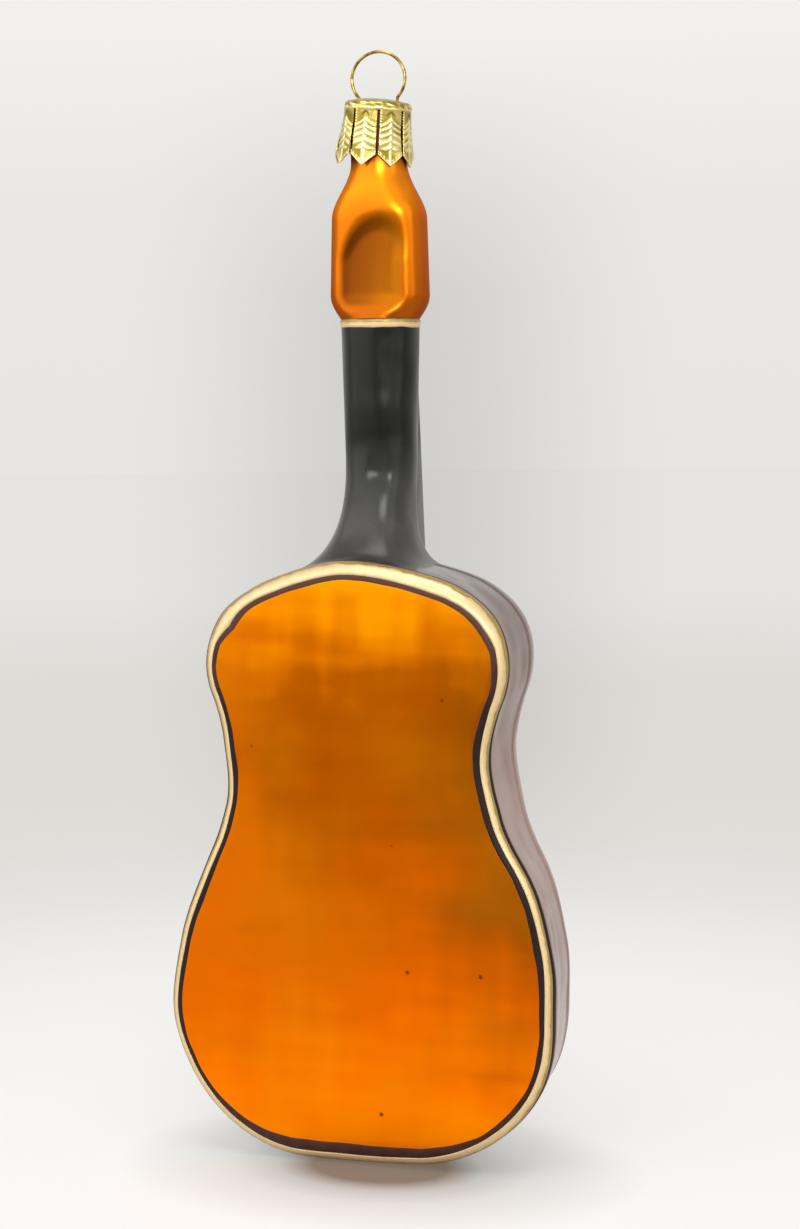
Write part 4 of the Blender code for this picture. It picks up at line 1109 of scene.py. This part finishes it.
turns = np.linspace(LOOP_END, math.pi - LOOP_END, 121)
loop = xyz(LOOP_HALF_WIDTH * np.cos(turns), 0.0, LOOP_RISE + LOOP_HALF_HEIGHT * np.sin(turns))
leg = smooth_path([*LEG_KNOTS, loop[0], loop[9]], 16)[:-1]
mirror = np.array([-1.0, 1.0, 1.0])
wire = np.concatenate([leg, loop, leg[::-1] * mirror]) + np.array([0.0, 0.0, CAP_CROWN_Z])
add_piece("spring_wire_loop", tube(wire, WIRE_RADIUS, 16), [WIRE], ["hanging_wire"], "hanger")


# Floor, world, lights and camera, which aren't part of the object. PHOTO_PLACE is where the photograph
# was taken from, and the shade on the backdrop is laid out from there and fixed: it follows no view.

PHOTO_PLACE = (0.10395592, -0.33671773, -0.04893)
PHOTO_RIGHT = (0.957772, 0.287529, 0.0)
PHOTO_AHEAD = (-0.287529, 0.957772, 0.0)
DARK_SIDE = (0.469, -0.881, 0.05)
FLOOR_DROP = 0.05
FLOOR_TONES = [
    (0.0, "#F5F4F2"),
    (0.06, "#F5F4F2"),
    (0.1, "#F1F0EE"),
    (0.18, "#E5E3E0"),
    (0.24, "#E1DEDA"),
    (0.32, "#DFDCD7"),
    (0.55, "#DEDBD6"),
    (0.9, "#E4E3DF"),
    (1.0, "#E5E4E0"),
]
CONTACT_SHADOW_TONES = [(0.2, "#8E8072"), (0.31, "#CBCCCA"), (0.45, "#E6E7E6"), (0.8, "#FFFFFF")]


def backdrop_shade(add, way, fade):
    """The soft grey that the object casts on the backdrop close behind it, darkest in the middle."""
    side = add("VectorMath", {0: way, 1: PHOTO_RIGHT}, operation="DOT_PRODUCT").outputs["Value"]
    side = add("Math", {0: side}, operation="ABSOLUTE")
    grey = {"Value": side, "From Min": 0.0, "From Max": 0.12, "To Min": 0.21, "To Max": 0.0}
    near = add("Math", {0: add("MapRange", grey, **SOFTLY), 1: fade}, operation="MULTIPLY")
    ahead = add("VectorMath", {0: way, 1: PHOTO_AHEAD}, operation="DOT_PRODUCT").outputs["Value"]
    ahead = add("MapRange", {"Value": ahead, "From Min": 0.8, "From Max": 0.95})
    near = add("Math", {0: near, 1: ahead}, operation="MULTIPLY")
    return add("Math", {0: 1.0, 1: near}, operation="SUBTRACT")


def seen_by_eye(add):
    """1 for what is seen directly, in a reflection or through glass, and the light path it is read from."""
    path = add("LightPath")
    seen = path.outputs["Is Camera Ray"]
    for kind in ("Is Glossy Ray", "Is Transmission Ray"):
        seen = add("Math", {0: seen, 1: path.outputs[kind]}, operation="MAXIMUM")
    return seen, path


def pale_floor(add, where):
    """Matt white paper: near the object it is partly lit and takes its shadow, with a painted brown contact shadow
    where they touch, and further off it goes over to the even tone of the backdrop, for the eye and in reflections,
    with the object's painted shade laid along it. Reflections also find it darker on one side, as they do the room."""
    axes = add("SeparateXYZ", {0: where})
    flat = add("CombineXYZ", {"X": axes.outputs["X"], "Y": axes.outputs["Y"]})
    distance = add("VectorMath", {0: flat}, operation="LENGTH").outputs["Value"]
    far = add("MapRange", {"Value": distance, "From Min": 0.06, "From Max": 0.24, "To Min": 0.65}, **SOFTLY)
    seen, path = seen_by_eye(add)
    share = add("Math", {0: far, 1: seen}, operation="MULTIPLY")
    colour = add("ValToRGB", {"Fac": distance}, stops=FLOOR_TONES)
    behind = add("VectorMath", {0: flat, 1: DARK_SIDE}, operation="DOT_PRODUCT").outputs["Value"]
    behind = add("MapRange", {"Value": behind, "From Min": 0.3, "From Max": 0.75}, **SOFTLY)
    behind = add("Math", {0: behind, 1: path.outputs["Is Glossy Ray"]}, operation="MULTIPLY")
    colour = add("Mix", {"Factor": behind, "A": colour, "B": "#8C8A86"}, **BLENDED)
    way = add("VectorMath", {0: where, 1: PHOTO_PLACE}, operation="SUBTRACT")
    way = add("VectorMath", {0: way}, operation="NORMALIZE")
    close = add("MapRange", {"Value": distance, "From Min": 0.1, "From Max": 0.4})
    shade = backdrop_shade(add, way, close)
    colour = add("Mix", {"Factor": 1.0, "A": colour, "B": shade}, **MULTIPLIED)
    # A painted contact shadow: brown-grey, darkest just in front of the guitar's bottom, laid on both the lit paper
    # and its even tone
    spot = add("VectorMath", {0: flat, 1: (-0.003, 0.014, 0.0)}, operation="ADD")
    spot = add("VectorMath", {0: spot, 1: (1.0 / 0.05, 1.0 / 0.035, 0.0)}, operation="MULTIPLY")
    spot = add("VectorMath", {0: spot}, operation="LENGTH").outputs["Value"]
    painted_contact_shadow = add("ValToRGB", {"Fac": spot}, stops=CONTACT_SHADOW_TONES)
    colour = add("Mix", {"Factor": 1.0, "A": colour, "B": painted_contact_shadow}, **MULTIPLIED)
    paper = add("Mix", {"Factor": 1.0, "A": "#E9E8E6", "B": painted_contact_shadow}, **MULTIPLIED)
    paper = add("BsdfDiffuse", {"Color": paper})
    glow = add("Emission", {"Color": colour, "Strength": 1.0})
    return add("MixShader", {0: share, 1: paper, 2: glow})


radius = np.concatenate([[0.0], np.geomspace(20.0, 3000.0, 60)])[:, None]
turn = full_turn(96)[None, :]
points = xyz(radius * np.cos(turn), radius * np.sin(turn), -FLOOR_DROP)
quads = grid_faces(*points.shape[:2], (False, True)).reshape(-1, 4)
points = points.reshape(-1, 3) * MM + np.array([0.0, 0.0, BODY_BOTTOM])
floor_mesh = bpy.data.meshes.new("floor")
floor_mesh.from_pydata(points.tolist(), [], quads[:, ::-1].tolist())
floor_mesh.materials.append(make_material("pale_paper_floor", pale_floor))
floor = bpy.data.objects.new("floor", floor_mesh)
bpy.context.scene.collection.objects.link(floor)

world = bpy.data.worlds.new("studio")
bpy.context.scene.world = world
world.use_nodes = True
world.node_tree.nodes.clear()
add = partial(add_node, world.node_tree)
direction = add("TexCoord").outputs["Generated"]
height = add("SeparateXYZ", {0: direction}).outputs["Z"]
rise = add("MapRange", {"Value": height, "From Min": -0.02, "From Max": 0.2})
backdrop = add("ValToRGB", {"Fac": rise}, stops=[(0.0, "#E7E6E2"), (0.45, "#E9E8E4"), (0.8, "#F2F1EE")])
seen, path = seen_by_eye(add)
strength = add("MapRange", {"Value": seen, "To Min": 0.55, "To Max": 1.0})
dark = add("VectorMath", {0: direction, 1: DARK_SIDE}, operation="DOT_PRODUCT").outputs["Value"]
dark = {"Value": dark, "From Min": 0.72, "From Max": 0.95, "To Min": 1.0, "To Max": 0.3}
strength = add("Math", {0: strength, 1: add("MapRange", dark, **SOFTLY)}, operation="MULTIPLY")
strength = add("Math", {0: strength, 1: path.outputs["Is Camera Ray"]}, operation="MAXIMUM")
low = add("MapRange", {"Value": height, "From Min": 0.14, "From Max": 0.04})
strength = add("Math", {0: strength, 1: backdrop_shade(add, direction, low)}, operation="MULTIPLY")
add("OutputWorld", {"Surface": add("Background", {"Color": backdrop, "Strength": strength})})

# Softboxes: place and aim in metres, width and height, and watts
for name, place, aim, size, power in (
    ("window_left", (-0.7, -0.8, 0.4), (0.0, 0.0, -0.08), (1.6, 1.4), 8.5),
    ("fill_right", (0.9, -0.6, 0.1), (0.0, 0.0, -0.08), (1.0, 1.2), 4.5),
    ("over_camera", (0.26, -0.78, 0.2), (0.0, 0.0, -0.06), (0.34, 0.2), 3.4),
    ("top", (0.05, -0.2, 0.72), (0.0, 0.0, -0.1), (0.5, 0.4), 3.2),
):
    light = bpy.data.lights.new(name, "AREA")
    light.shape = "RECTANGLE"
    light.size, light.size_y = size
    light.energy = power
    lamp = bpy.data.objects.new(name, light)
    bpy.context.scene.collection.objects.link(lamp)
    lamp.location = place
    lamp.rotation_euler = (Vector(aim) - Vector(place)).to_track_quat("-Z", "Y").to_euler()

camera_data = bpy.data.cameras.new("camera")
camera_data.lens = 69.495
camera_data.sensor_width = 36.0
camera_data.clip_start = 0.01
camera = bpy.data.objects.new("camera", camera_data)
camera.location = PHOTO_PLACE
camera.rotation_euler = [math.radians(a) for a in (84.60093, 0.51184, 16.70935)]
bpy.context.scene.collection.objects.link(camera)
bpy.context.scene.camera = camera
bpy.context.scene.view_settings.view_transform = "Standard"
